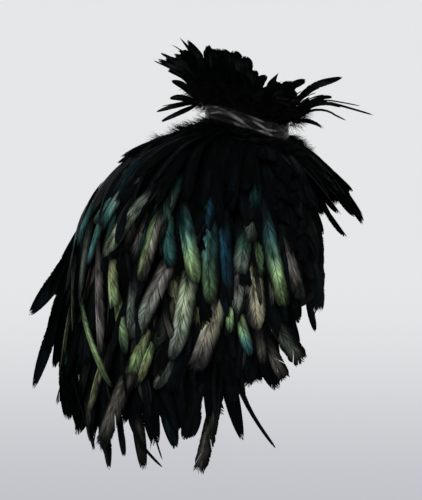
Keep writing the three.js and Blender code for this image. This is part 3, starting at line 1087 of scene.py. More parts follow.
@dataclass(frozen=True)
class NeckBand:
    """The pleated satin band and its lapped end.

    Attributes:
        folds: the soft ridges.
        ridge: a ridge's half width, as a share of the band's height.
        pleats: how many flat pleats the band has from edge to edge.
        pleat_share: how deep they are, in pleat depths.
        hem_share: the share of the height over which the relief fades at an edge.
        hem_calm: the share of the relief that is left at the edge.
        tuck: how far the band goes on past its edges, as a share of its height.
        satin_wall: the satin's thickness.
        band_grid: the faces round the band and up it.
        band_cut: the height of its UV map, in band heights.
        lap_from: the angle where the lapped end starts.
        lap_to: the angle where it ends.
        lap_lift: how far it lies off the neck's radius.
        lap_margin: how far it stays from the band's edges, as a share of the height.
        lap_press: how far its first edge is pressed inwards.
        lap_soft: the share of its width over which the press fades.
        lap_grid: the faces along it and up it.
        lap_cut: the height of its UV map, in band heights.
    """

    folds: tuple[Fold, ...] = (
        Fold(-6, 0.45, 0.3, 34, 1.2),
        Fold(4, 0.88, -0.1, 34, 1.1),
        Fold(10, 0.6, -0.2, 26, 1.1),
        Fold(28, 0.62, -0.15, 24, 1.8),
        Fold(40, 0.36, -0.3, 26, 1.8),
        Fold(36, 0.12, -0.1, 22, 1.3),
        Fold(62, 0.84, -0.1, 26, 1.6),
        Fold(62, 0.58, -0.3, 22, 1.9),
        Fold(79, 0.42, 0.05, 22, 1.7),
        Fold(73, 0.16, -0.1, 24, 2.1),
        Fold(96, 0.66, -0.4, 18, 1.3),
        Fold(104, 0.3, 0.4, 16, 1.1),
        Fold(120, 0.6, 0.4, 26, 1.0),
        Fold(160, 0.35, -0.5, 30, 1.1),
        Fold(200, 0.65, 0.3, 34, -0.9),
        Fold(240, 0.4, -0.4, 30, 1.0),
        Fold(285, 0.6, 0.5, 28, 1.1),
        Fold(325, 0.35, -0.3, 34, -0.9),
    )
    ridge: float = 0.11
    pleats: float = 2.5
    pleat_share: float = 0.35
    hem_share: float = 0.08
    hem_calm: float = 0.4
    tuck: float = 0.08
    satin_wall: float = 1.2
    band_grid: tuple[int, int] = (220, 28)
    band_cut: float = 1.12
    lap_from: float = 84
    lap_to: float = 112
    lap_lift: float = 1.5
    lap_margin: float = 0.02
    lap_press: float = 1.6
    lap_soft: float = 0.2
    lap_grid: tuple[int, int] = (24, 22)
    lap_cut: float = 1.1

    def relief(self, angle: np.ndarray, share: np.ndarray) -> np.ndarray:
        """Returns how far the satin stands out from its middle, in millimetres."""
        turn = np.radians(angle)
        # The flat pleats wander up and down as they go round.
        wander = 0.9 * np.sin(3 * turn + 0.7) + 0.5 * np.sin(5 * turn)
        height = self.pleat_share * PLEAT_DEPTH * np.sin(2 * math.pi * self.pleats * share + wander)
        for fold in self.folds:
            off = signed(angle - fold.angle)
            line = fold.share + fold.slant * off / fold.length
            along = np.exp(-((off / (0.5 * fold.length)) ** 2))
            height = height + fold.height * along * np.exp(-(((share - line) / self.ridge) ** 2))
        return height

    def place(
        self, out: float, low: float, high: float, first: float, last: float, press: float = 0
    ) -> Callable:
        """Returns the function that wraps a sheet round the neck.

        Args:
            out: the distance from the axis of the satin's middle.
            low: the share of the band's height where the sheet starts.
            high: the share where it ends.
            first: the angle where it starts.
            last: the angle where it ends.
            press: how far its first edge is pressed inwards.
        """

        def wrap(width: np.ndarray, length: np.ndarray) -> np.ndarray:
            """Returns the points in metres."""
            angle = first + (last - first) * width
            share = low + (high - low) * length
            height = ring_height(angle) + share * BAND_HEIGHT
            hem = smooth(0, self.hem_share, length) * smooth(0, self.hem_share, 1 - length)
            relief = self.relief(angle, share) * (self.hem_calm + (1 - self.hem_calm) * hem)
            pressed = press * (1 - smooth(0, self.lap_soft, width))
            return round_neck(angle, out - pressed + relief, height)

        return wrap

    def mark_crests(self, piece: bpy.types.Object) -> None:
        """Stores how far each point of the satin stands out, for the finish to paint highlights on the
        crests.
        """
        points = np.array([corner.co for corner in piece.data.vertices])
        angle = np.degrees(np.arctan2(-points[:, 1], -points[:, 0])) % FULL_TURN
        share = (points[:, 2] / MM - ring_height(angle)) / BAND_HEIGHT
        crest = self.relief(angle, share)
        put_attribute(piece.data, "crest", "FLOAT_VECTOR", np.stack([crest, 0 * crest, 0 * crest], -1))

    def build(self, satin: SatinFinish) -> None:
        """Makes the band and its lapped end."""
        material = satin.make()
        middle = NECK_RADIUS - 0.5 * PLEAT_DEPTH
        flat = (2 * math.pi * middle * MM, self.band_cut * BAND_HEIGHT * MM)
        wrap = self.place(middle, -self.tuck, 1 + self.tuck, 0, FULL_TURN)
        band = sheet_from("satin_band", *self.band_grid, wrap, flat)
        weld(band)
        self.mark_crests(band)
        thicken(band, self.satin_wall * MM, -1)
        dress(band, material, ["neck_band"])
        over = NECK_RADIUS + self.lap_lift
        turn = math.radians(self.lap_to - self.lap_from)
        lap_flat = (turn * over * MM, self.lap_cut * BAND_HEIGHT * MM)
        low, high = self.lap_margin, 1 - self.lap_margin
        wrap = self.place(over, low, high, self.lap_from, self.lap_to, self.lap_press)
        lap = sheet_from("satin_lap", *self.lap_grid, wrap, lap_flat)
        self.mark_crests(lap)
        thicken(lap, self.satin_wall * MM, 0)
        dress(lap, material, ["band_end"])


@dataclass(frozen=True)
class Panel:
    """One piece of the foundation, between two angles."""

    name: str
    node: str
    first: float
    last: float
    across: int
    down: int


@dataclass(frozen=True)
class Foundation:
    """The cloth that the strips of feathers are sewn to, with the collar's stand.

    Attributes:
        panels: the pieces below the band.
        crease: how deep the cloth's small creases are.
        crease_count: how many there are all round.
        crease_run: how far apart they are down the cloth.
        crease_turn: how many degrees move them on.
        slack: how much thinner it is than the CAD's cloth.
        cut_fill: the share of the rectangle it is cut from that a piece fills.
        stand_grid: the faces round the stand and up it.
        stand_height: its longest run.
        stand_sink: how far it lies inside the CAD's face.
    """

    panels: tuple[Panel, ...] = (
        Panel("front_cloth", "front_panel", FRONT_EDGE, FRONT_SEAM, 30, 30),
        Panel("shoulder_front_cloth", "shoulder_front", FRONT_SEAM, SHOULDER_SEAM, 34, 40),
        Panel("shoulder_back_cloth", "shoulder_back", SHOULDER_SEAM, BACK_SEAM, 34, 40),
        Panel("back_cloth", "back_panel", BACK_SEAM, BACK_EDGE, 34, 34),
        Panel("yoke_cloth", "left_yoke", BACK_EDGE, FRONT_EDGE - FULL_TURN, 90, 10),
    )
    crease: float = 0.5
    crease_count: int = 19
    crease_run: float = 23
    crease_turn: float = 9
    slack: float = 0.6
    cut_fill: float = 0.85
    stand_grid: tuple[int, int] = (160, 8)
    stand_height: float = 32
    stand_sink: float = 0.2

    def length(self, panel: Panel, angle: np.ndarray) -> np.ndarray:
        """Returns how far the cloth reaches at an angle."""
        if panel.node == "left_yoke":
            return 0 * angle + YOKE_LENGTH
        return CAPE.value("cloth", angle)

    def place(self, panel: Panel) -> Callable:
        """Returns the function that lays a panel on the drape."""

        def lay(width: np.ndarray, length: np.ndarray) -> np.ndarray:
            """Returns the points in metres."""
            angle = panel.first + (panel.last - panel.first) * width
            inward = 0.5 * SEAM_GAP * np.sign(panel.last - panel.first) * (1 - 2 * width)
            run = SEAM_GAP + length * (self.length(panel, angle) - SEAM_GAP)
            angle = angle + CAPE.turn_for(angle, run, inward)
            drift = np.sin(run / self.crease_run + angle / self.crease_turn)
            ripple = np.sin(np.radians(angle * self.crease_count)) * drift
            return CAPE.point(angle, run, self.crease * (ripple - 1))

        return lay

    def build(self, cloth: ClothFinish) -> None:
        """Makes every panel and the stand."""
        material = cloth.make()
        for panel in self.panels:
            angles = np.linspace(panel.first, panel.last, 20)
            longest = float(self.length(panel, angles).max())
            piece = sheet_from(panel.name, panel.across, panel.down, self.place(panel), (1, 1))
            self.finish(piece, material, cloth.slot, panel.node, longest)
        stand = sheet_from("stand_cloth", *self.stand_grid, self.stand_place, (1, 1))
        weld(stand)
        self.finish(stand, material, cloth.slot, "collar_stand", self.stand_height)

    def stand_place(self, width: np.ndarray, length: np.ndarray) -> np.ndarray:
        """Returns the collar stand's points in metres."""
        angle = FULL_TURN * width
        return COLLAR.point(angle, length * COLLAR.value("cloth", angle), 0 * angle - self.stand_sink)

    def finish(
        self, piece: bpy.types.Object, material: bpy.types.Material, slot: str, node: str, longest: float
    ) -> None:
        """Thickens a panel, dresses it and scales its UV map to its cut, whose widest side follows from its
        area.
        """
        area = cloth_area(piece)
        length = longest * MM
        width = area / length / self.cut_fill
        flats = np.zeros(len(piece.data.loops) * 2, np.float32)
        piece.data.uv_layers["flat"].data.foreach_get("uv", flats)
        scaled = (flats.reshape(-1, 2) * (width, length)).astype(np.float32)
        piece.data.uv_layers["flat"].data.foreach_set("uv", scaled.ravel())
        thicken(piece, (CLOTH_WALL - self.slack) * MM, -1 if self.faces_out(piece) else 1)
        dress(piece, material, [node])

    def faces_out(self, piece: bpy.types.Object) -> bool:
        """Returns whether a sheet's faces point away from the neck's axis."""
        faces = piece.data.polygons
        return sum(face.normal.dot(Vector((face.center.x, face.center.y, 0))) for face in faces) > 0


JET = (Tone.BLACK, Tone.BLACK)
BLACKS = (JET, (Tone.BLACK, Tone.INK), (Tone.INK, Tone.BLACK))


@dataclass(frozen=True)
class Tier:
    """One tier of feathers, which stands for one row of the CAD model.

    Attributes:
        name: the piece's name.
        node: the CAD row it stands for.
        slot: the finish it wears.
        root: the share of the cloth's length where its first strip is sewn.
        length: the length of a feather before the cape's outline scales it.
        width: a feather's width.
        rise: how far a tip stands beyond its root.
        sweep: how far tips curve aside at most.
        kinds: the kinds of its feathers, the commonest most often.
        tones: the tones of its feathers, the commonest most often.
        strips: how many strips it has.
        each: how many feathers a strip has.
        spread: the share of the cloth's length that its strips cover.
    """

    name: str
    node: str
    slot: str
    root: float
    length: float
    width: float
    rise: float
    sweep: float
    kinds: tuple[Kind, ...]
    tones: tuple[Tones, ...]
    strips: int = 2
    each: int = 38
    spread: float = 0.12


TIERS = (
    Tier(
        name="teal_tier_high",
        node="row_2",
        slot="teal",
        root=0.13,
        length=172,
        width=27,
        rise=25,
        sweep=18,
        kinds=(Kind.BROAD, Kind.HACKLE, Kind.LEAF),
        tones=(*BLACKS, *BLACKS, (Tone.INK, Tone.SEA), (Tone.BLACK, Tone.BLUE)),
    ),
    Tier(
        name="teal_tier_low",
        node="row_3",
        slot="teal",
        root=0.32,
        length=178,
        width=28,
        rise=25,
        sweep=20,
        kinds=(Kind.BROAD, Kind.SPLIT, Kind.LEAF, Kind.RAGGED),
        tones=(
            *BLACKS,
            (Tone.SEA, Tone.INK),
            (Tone.BLACK, Tone.MAUVE),
            (Tone.SEA, Tone.ASH),
            (Tone.INK, Tone.UMBER),
        ),
    ),
    Tier(
        name="bronze_tier_high",
        node="row_4",
        slot="bronze",
        root=0.52,
        length=186,
        width=29,
        rise=25,
        sweep=22,
        kinds=(Kind.BROAD, Kind.SPLIT, Kind.RAGGED, Kind.LEAF),
        tones=(
            *BLACKS,
            (Tone.MAUVE, Tone.UMBER),
            (Tone.BLACK, Tone.ASH),
            (Tone.UMBER, Tone.MAUVE),
            (Tone.BLACK, Tone.MOSS),
            (Tone.UMBER, Tone.OLIVE),
        ),
    ),
    Tier(
        name="bronze_tier_low",
        node="row_5",
        slot="bronze",
        root=0.72,
        length=192,
        width=29,
        rise=24,
        sweep=28,
        kinds=(Kind.LEAF, Kind.RAGGED, Kind.SICKLE, Kind.SPLIT),
        tones=(*BLACKS, *BLACKS, (Tone.BLACK, Tone.UMBER), (Tone.UMBER, Tone.BLACK), (Tone.BLACK, Tone.ASH)),
    ),
    Tier(
        name="hem_tier",
        node="row_6_hem",
        slot="tail",
        root=0.88,
        length=196,
        width=27,
        rise=18,
        sweep=38,
        kinds=(Kind.SICKLE, Kind.RAGGED, Kind.LEAF, Kind.SICKLE),
        tones=(*BLACKS, *BLACKS, (Tone.BLACK, Tone.UMBER)),
        each=36,
        spread=0.14,
    ),
)


@dataclass(frozen=True)
class ShowFeather:
    """A feather that lies on top of its tier and shows its whole vane.

    Attributes:
        kind: its cut.
        tones: its colours.
        root: the angle and the run of the first of it that shows.
        tip: the angle and the run of its tip.
        width: its width.
        shade: how much darker painted shade makes one side of the shaft, the right for above zero.
        glow: how bright its sheen is.
        lift: how far its tip stands off the cloth.
        sweep: how far it bows to the side.
        roll: how far it is turned about its shaft.
        halved: whether the tones lie on its two sides, as painted sheen that differs between the sides.
        ease: how early it rises off the cloth.
    """

    kind: Kind
    tones: Tones
    root: Pair
    tip: Pair
    width: float
    shade: float = 0
    glow: float = 1
    lift: float = 34
    sweep: float = 0
    roll: float = 0
    halved: bool = False
    ease: float = 0.5


SHOW_FEATHERS = tuple(
    ShowFeather(*row)
    for row in (
        (Kind.BROAD, (Tone.TEAL, Tone.SEA), (3, 204), (-12, 254), 28, 0.3, 1.2, 25),
        (Kind.BROAD, (Tone.SEA, Tone.TEAL), (-6, 236), (-16, 314), 30, -0.3, 1.2, 26),
        (Kind.LEAF, (Tone.TEAL, Tone.TEAL), (-18, 226), (-27, 288), 24, 0.4, 1, 22),
        (Kind.RAGGED, (Tone.ASH, Tone.TEAL), (6, 190), (-6, 262), 24, -0.3, 0.9, 27),
        (Kind.LEAF, (Tone.ASH, Tone.SAGE), (14, 206), (-1, 301), 29, 0.25, 0.9, 34, -6),
        (Kind.BROAD, (Tone.BLACK, Tone.SEA), (4, 240), (1, 304), 22, 0.5, 0.8, 30),
        (Kind.LEAF, (Tone.LIME, Tone.MAUVE), (18, 232), (15, 326), 25, 0, 0.8, 41, 0, 0, True),
        (Kind.BROAD, (Tone.SEA, Tone.TEAL), (19, 212), (23, 297), 28, 0.4, 1, 33),
        (Kind.LEAF, (Tone.TEAL, Tone.LIME), (25, 218), (31, 310), 31, -0.35, 1.1, 36, 6),
        (Kind.LEAF, (Tone.TEAL, Tone.MOSS), (33, 208), (35, 334), 34, 0.6, 1, 36),
        (Kind.HACKLE, (Tone.BLUE, Tone.INK), (38, 208), (41, 330), 24, 0.3, 1.1, 34),
        (Kind.RAGGED, (Tone.SEA, Tone.ASH), (46, 222), (44, 280), 28, -0.3, 0.8, 32),
        (Kind.RAGGED, (Tone.MAUVE, Tone.ASH), (44, 262), (43, 338), 28, 0.3, 0.8, 32),
        (Kind.BROAD, (Tone.TEAL, Tone.LIME), (53, 192), (59, 308), 26, -0.7, 1.1, 42, 5),
        (Kind.SPLIT, (Tone.MAUVE, Tone.UMBER), (60, 216), (66, 290), 24, -0.4, 0.9, 38),
        (Kind.LEAF, (Tone.UMBER, Tone.CREAM), (48, 252), (50, 352), 35, 0, 0.9, 33, 0, 0, True),
        (Kind.LEAF, (Tone.LIME, Tone.TEAL), (43, 326), (48, 390), 19, 0.2, 1.1, 36, 3),
        (Kind.LEAF, (Tone.SAGE, Tone.ASH), (28, 290), (24, 424), 38, 0.3, 1.05, 38, -8),
        (Kind.LEAF, (Tone.LIME, Tone.MOSS), (3, 348), (10, 432), 29, 0.2, 1.1, 33, 6),
        (Kind.BROAD, (Tone.OLIVE, Tone.LIME), (1, 302), (5, 371), 31, 0.15, 1, 37),
        (Kind.SICKLE, (Tone.MOSS, Tone.LIME), (-22, 345), (6, 482), 15, -0.3, 0.8, 36, 95, -18),
        (Kind.LEAF, (Tone.OLIVE, Tone.LIME), (-26, 370), (-26, 482), 26, 0.5, 1, 38, 0, 32),
        (Kind.SPLIT, (Tone.ASH, Tone.OLIVE), (-26, 298), (-19, 418), 28, 0.4, 0.9, 36, 0, 30),
        (Kind.LEAF, (Tone.MAUVE, Tone.MAUVE), (-8, 298), (0, 441), 32, 0.3, 1, 38, 6, 14),
        (Kind.SPLIT, (Tone.OLIVE, Tone.OLIVE), (-2, 444), (-8, 526), 29, 0.3, 0.95, 34),
        (Kind.SPLIT, (Tone.MAUVE, Tone.ASH), (23, 274), (12, 409), 33, -0.3, 0.9, 34, -8),
        (Kind.RAGGED, (Tone.OLIVE, Tone.LIME), (17, 372), (12, 457), 26, 0.4, 0.8, 34),
        (Kind.LEAF, (Tone.LIME, Tone.OLIVE), (18, 396), (15, 466), 18, 0.3, 0.8, 37),
        (Kind.LEAF, (Tone.INK, Tone.ASH), (11, 294), (10, 407), 26, 0.5, 0.8, 30),
        (Kind.RAGGED, (Tone.CREAM, Tone.MAUVE), (38, 304), (30, 428), 41, 0.3, 0.75, 35, -6),
        (Kind.LEAF, (Tone.LIME, Tone.MOSS), (41, 310), (41, 366), 14, 0, 1, 37),
        (Kind.RAGGED, (Tone.BLACK, Tone.ASH), (52, 314), (68, 377), 30, 0.4, 0.4, 30, 8),
        (Kind.RAGGED, (Tone.BLACK, Tone.UMBER), (51, 352), (60, 410), 26, 0, 0.8, 26, 8),
        (Kind.BROAD, BLACKS[1], (72, 176), (76, 298), 37, 0.3, 0.6, 28),
        (Kind.SICKLE, JET, (81, 250), (64, 303), 14, 0, 0.6, 28, -12),
        (Kind.LEAF, JET, (71, 282), (75, 326), 11, 0, 0.6, 24),
        (Kind.RAGGED, (Tone.UMBER, Tone.UMBER), (13, 428), (0, 572), 39, 0.4, 0.9, 36, -8),
        (Kind.LEAF, (Tone.BLACK, Tone.ASH), (25, 400), (19, 470), 28, 0.5, 0.8, 32),
        (Kind.LEAF, BLACKS[1], (19, 450), (25, 546), 26, 0, 0.6, 26, 6),
        (Kind.QUILL, JET, (16, 490), (21, 566), 10, 0, 0.6, 24, 12),
        (Kind.QUILL, JET, (10, 530), (21, 576), 11, 0, 0.6, 22, 34),
        (Kind.SICKLE, JET, (5, 520), (9, 576), 16, 0, 0.6, 26, 6),
        (Kind.RAGGED, (Tone.BLACK, Tone.UMBER), (37, 436), (31, 570), 28, 0, 0.8, 24, -14, 20),
        (Kind.QUILL, JET, (43, 430), (57, 508), 13, 0, 0.6, 22, 48),
        (Kind.LEAF, JET, (29, 456), (29, 526), 28, 0, 0.6, 24),
        (Kind.LEAF, BLACKS[1], (-42, 280), (-42, 390), 25, 0, 0.6, 88, 0, 76, False, 1.4),
        (Kind.LEAF, JET, (-41, 262), (-42, 360), 24, 0, 0.6, 58, 0, 70, False, 1.3),
        (Kind.LEAF, BLACKS[1], (-42, 340), (-42, 504), 20, 0, 0.6, 74, 10, 80, False, 0.9),
        (Kind.LEAF, JET, (-40, 310), (-41, 446), 26, 0, 0.6, 54, 0, 70, False, 0.9),
        (Kind.SICKLE, JET, (-38, 360), (-38, 470), 24, 0, 0.6, 40, 8, 50),
        (Kind.SICKLE, (Tone.SEA, Tone.BLACK), (-34, 420), (-26, 518), 22, 0, 0.8, 30, -8, 50),
        (Kind.SICKLE, BLACKS[2], (-36, 430), (-24, 548), 28, 0, 0.6, 26, -12, 55),
        (Kind.SICKLE, BLACKS[2], (-32, 456), (-15, 560), 28, 0, 0.6, 30, -12, 50),
        (Kind.SICKLE, BLACKS[2], (-26, 470), (-5, 584), 28, 0, 0.6, 28, -10, 35),
        (Kind.LEAF, (Tone.BLACK, Tone.UMBER), (-16, 470), (-7, 572), 26, 0.4, 0.5, 28, -6),
        (Kind.LEAF, JET, (-28, 420), (-21, 530), 30, 0, 0.5, 24, -6, 25),
        (Kind.LEAF, BLACKS[1], (46, 330), (47, 434), 36, 0, 0.5, 26),
        (Kind.RAGGED, JET, (51, 322), (52, 404), 32, 0, 0.5, 24),
        (Kind.LEAF, BLACKS[1], (41, 360), (42, 462), 32, 0, 0.5, 24, 6),
        (Kind.LEAF, JET, (-4, 520), (3, 602), 24, 0, 0.5, 26, 6),
        (Kind.SICKLE, JET, (31, 450), (27, 530), 22, 0, 0.5, 24, 10),
        (Kind.LEAF, JET, (-25, 420), (-23, 548), 34, 0, 0.5, 20, 4),
        (Kind.LEAF, BLACKS[1], (4, 385), (4, 530), 40, 0, 0.5, 17),
        (Kind.LEAF, JET, (-20, 385), (-19, 556), 38, 0, 0.5, 16),
        (Kind.LEAF, JET, (-30, 410), (-28, 530), 36, 0, 0.5, 16),
    )
)


# The black feathers of the ring that stand clear at the front left.
RING_FEATHERS = tuple(
    ShowFeather(*row)
    for row in (
        (Kind.BROAD, JET, (79, 56), (119, 146), 26, 0, 0.6, 16, 8, -55),
        (Kind.BROAD, BLACKS[1], (83, 104), (113, 180), 19, 0, 0.6, 14, 4, -50),
        (Kind.BROAD, JET, (70, 120), (81, 192), 25, 0, 0.6, 14, 0, -20),
        (Kind.LEAF, JET, (76, 100), (92, 178), 20, 0, 0.6, 10),
        (Kind.LEAF, BLACKS[1], (88, 70), (107, 160), 20, 0, 0.6, 10, 0, -30),
        (Kind.QUILL, JET, (90, 66), (130, 122), 6, 0, 0.6, 22, 6),
    )
)


# The feathers that stand out of the collar. Those at the back right have more sheen.
COLLAR_PLUMES = tuple(
    Plume(
        kind=kind,
        tones=(Tone.BLACK, Tone.ASH),
        angle=angle,
        root=8,
        length=length,
        width=width,
        lift=6,
        rise=rise,
        sweep=sweep,
        roll=roll,
        glow=1.1 if angle < 0 else 0.45,
    )
    for kind, angle, length, width, rise, sweep, roll in (
        (Kind.LEAF, 2, 108, 17, 4, 2, 10),
        (Kind.BROAD, 12, 86, 32, -2, 4, 8),
        (Kind.BROAD, 22, 88, 34, -2, 4, -6),
        (Kind.BROAD, 31, 88, 36, 0, 4, 6),
        (Kind.BROAD, 39, 82, 38, -2, 4, -4),
        (Kind.BROAD, 48, 64, 30, -2, 4, 6),
        (Kind.BROAD, 60, 42, 24, -2, 4, 0),
        (Kind.LEAF, -14, 92, 22, 6, -4, 12),
        (Kind.LEAF, -24, 88, 24, 8, 4, 20),
        (Kind.LEAF, -38, 96, 18, 6, -6, 30),
        (Kind.SICKLE, -20, 106, 9, 10, -8, 30),
        (Kind.QUILL, -46, 112, 9, 6, -12, 50),
        (Kind.SICKLE, -50, 104, 12, 2, 8, 50),
        (Kind.LEAF, -44, 60, 15, 20, 6, 50),
        (Kind.LEAF, -46, 34, 13, 40, 4, 60),
        (Kind.SICKLE, -44, 24, 9, 68, -6, 70),
        (Kind.QUILL, -48, 26, 9, 58, 8, 70),
        (Kind.SICKLE, -46, -10, 9, 66, 4, 70),
        (Kind.LEAF, 128, 26, 12, 42, 4, 60),
        (Kind.LEAF, 164, 132, 13, -2, 4, 70),
        (Kind.LEAF, 254, 74, 26, 2, 3, 10),
        (Kind.QUILL, 114, 130, 9, 14, 12, 40),
        (Kind.QUILL, 124, 148, 10, 18, 6, 60),
        (Kind.QUILL, 120, 108, 9, 34, 8, 60),
        (Kind.SICKLE, 122, 96, 8, 14, 6, 60),
        (Kind.QUILL, 118, 40, 8, 46, 6, 50),
    )
)


@dataclass(frozen=True)
class Stray:
    """How far feathers stray from their piece's plan, either way, in the values of a plume.

    On the strips, lengths and widths stray by a share of themselves. The root of a back feather
    strays by a share of its reach. All else is in millimetres and degrees.
    """

    angle: float = 0
    root: float = 0
    length: float = 0
    width: float = 0
    lift: float = 0
    rise: float = 0
    bow: float = 0
    lean: float = 0
    sweep: float = 0
    roll: float = 0
    twist: float = 0
    shade: float = 0
    glow: float = 0


TIER_STRAY = Stray(
    angle=2, root=4, length=0.1, width=0.18, lift=1.5, rise=5, bow=3, lean=13, roll=20, twist=24, shade=0.7
)
STRAND_STRAY = Stray(width=2, rise=8, lean=5, sweep=20)
SHOW_STRAY = Stray(roll=9, twist=10)
BACK_STRAY = Stray(root=0.04, length=20, width=6, lift=4, lean=7, sweep=9, shade=0.5, glow=0.2)
SLIVER_STRAY = Stray(angle=5, length=20, width=5, lift=6, sweep=12)
RING_STRAY = Stray(
    angle=2.5, root=3, length=0.1, width=0.2, rise=5, bow=2, lean=12, sweep=18, roll=12, twist=40, shade=0.7
)
COLLAR_STRAY = Stray(
    angle=3, length=0.12, width=0.35, rise=8, lean=14, sweep=16, roll=30, twist=60, shade=0.6
)
NECK_DOWN_STRAY = Stray(length=7, width=6, rise=3, lean=30, roll=16)
COLLAR_DOWN_STRAY = Stray(length=6, width=6, rise=4, lean=50, roll=30)


@dataclass(frozen=True)
class BackBand:
    """A band of single feathers across the back: the share of its reach, and what hangs there."""

    share: float
    tones: Tones
    kinds: tuple[Kind, ...]


BACK_BANDS = (
    BackBand(0.36, (Tone.TEAL, Tone.SEA), (Kind.BROAD, Kind.LEAF)),
    BackBand(0.46, (Tone.TEAL, Tone.LIME), (Kind.BROAD, Kind.LEAF)),
    BackBand(0.54, (Tone.ASH, Tone.SAGE), (Kind.LEAF, Kind.SPLIT)),
    BackBand(0.6, (Tone.MAUVE, Tone.ASH), (Kind.SPLIT, Kind.RAGGED)),
    BackBand(0.66, (Tone.LIME, Tone.OLIVE), (Kind.BROAD, Kind.LEAF)),
    BackBand(0.72, (Tone.OLIVE, Tone.MOSS), (Kind.LEAF, Kind.SPLIT)),
    BackBand(0.78, (Tone.UMBER, Tone.MAUVE), (Kind.RAGGED, Kind.SPLIT)),
)

# The angle and the run of the hem's lowest feathers, from the back edge to the front edge.
HEM = (
    (-92, 440), (-80, 462), (-66, 496), (-50, 518), (-34, 522), (-24, 550),
    (-8, 580), (2, 598), (12, 556), (20, 508), (31, 535), (38, 486),
    (45, 440), (52, 396), (58, 328), (64, 292), (72, 284), (84, 262),
)

# How much shorter the collar's feathers are in some spans.
COLLAR_CUTS = ((SHORT_BACK_COLLAR, 0.8), (SHORT_LEFT_COLLAR, 0.78), (THIN_COLLAR, 0.62))

# The kinds of feather in the ring and in the collar.
BARE_KINDS = (Kind.BROAD, Kind.LEAF, Kind.SICKLE)
RING_KINDS = (Kind.HACKLE, Kind.BROAD, Kind.RAGGED)
THIN_KINDS = (Kind.QUILL, Kind.SICKLE, Kind.HACKLE)
COLLAR_KINDS = (Kind.LEAF, Kind.HACKLE, Kind.SICKLE)


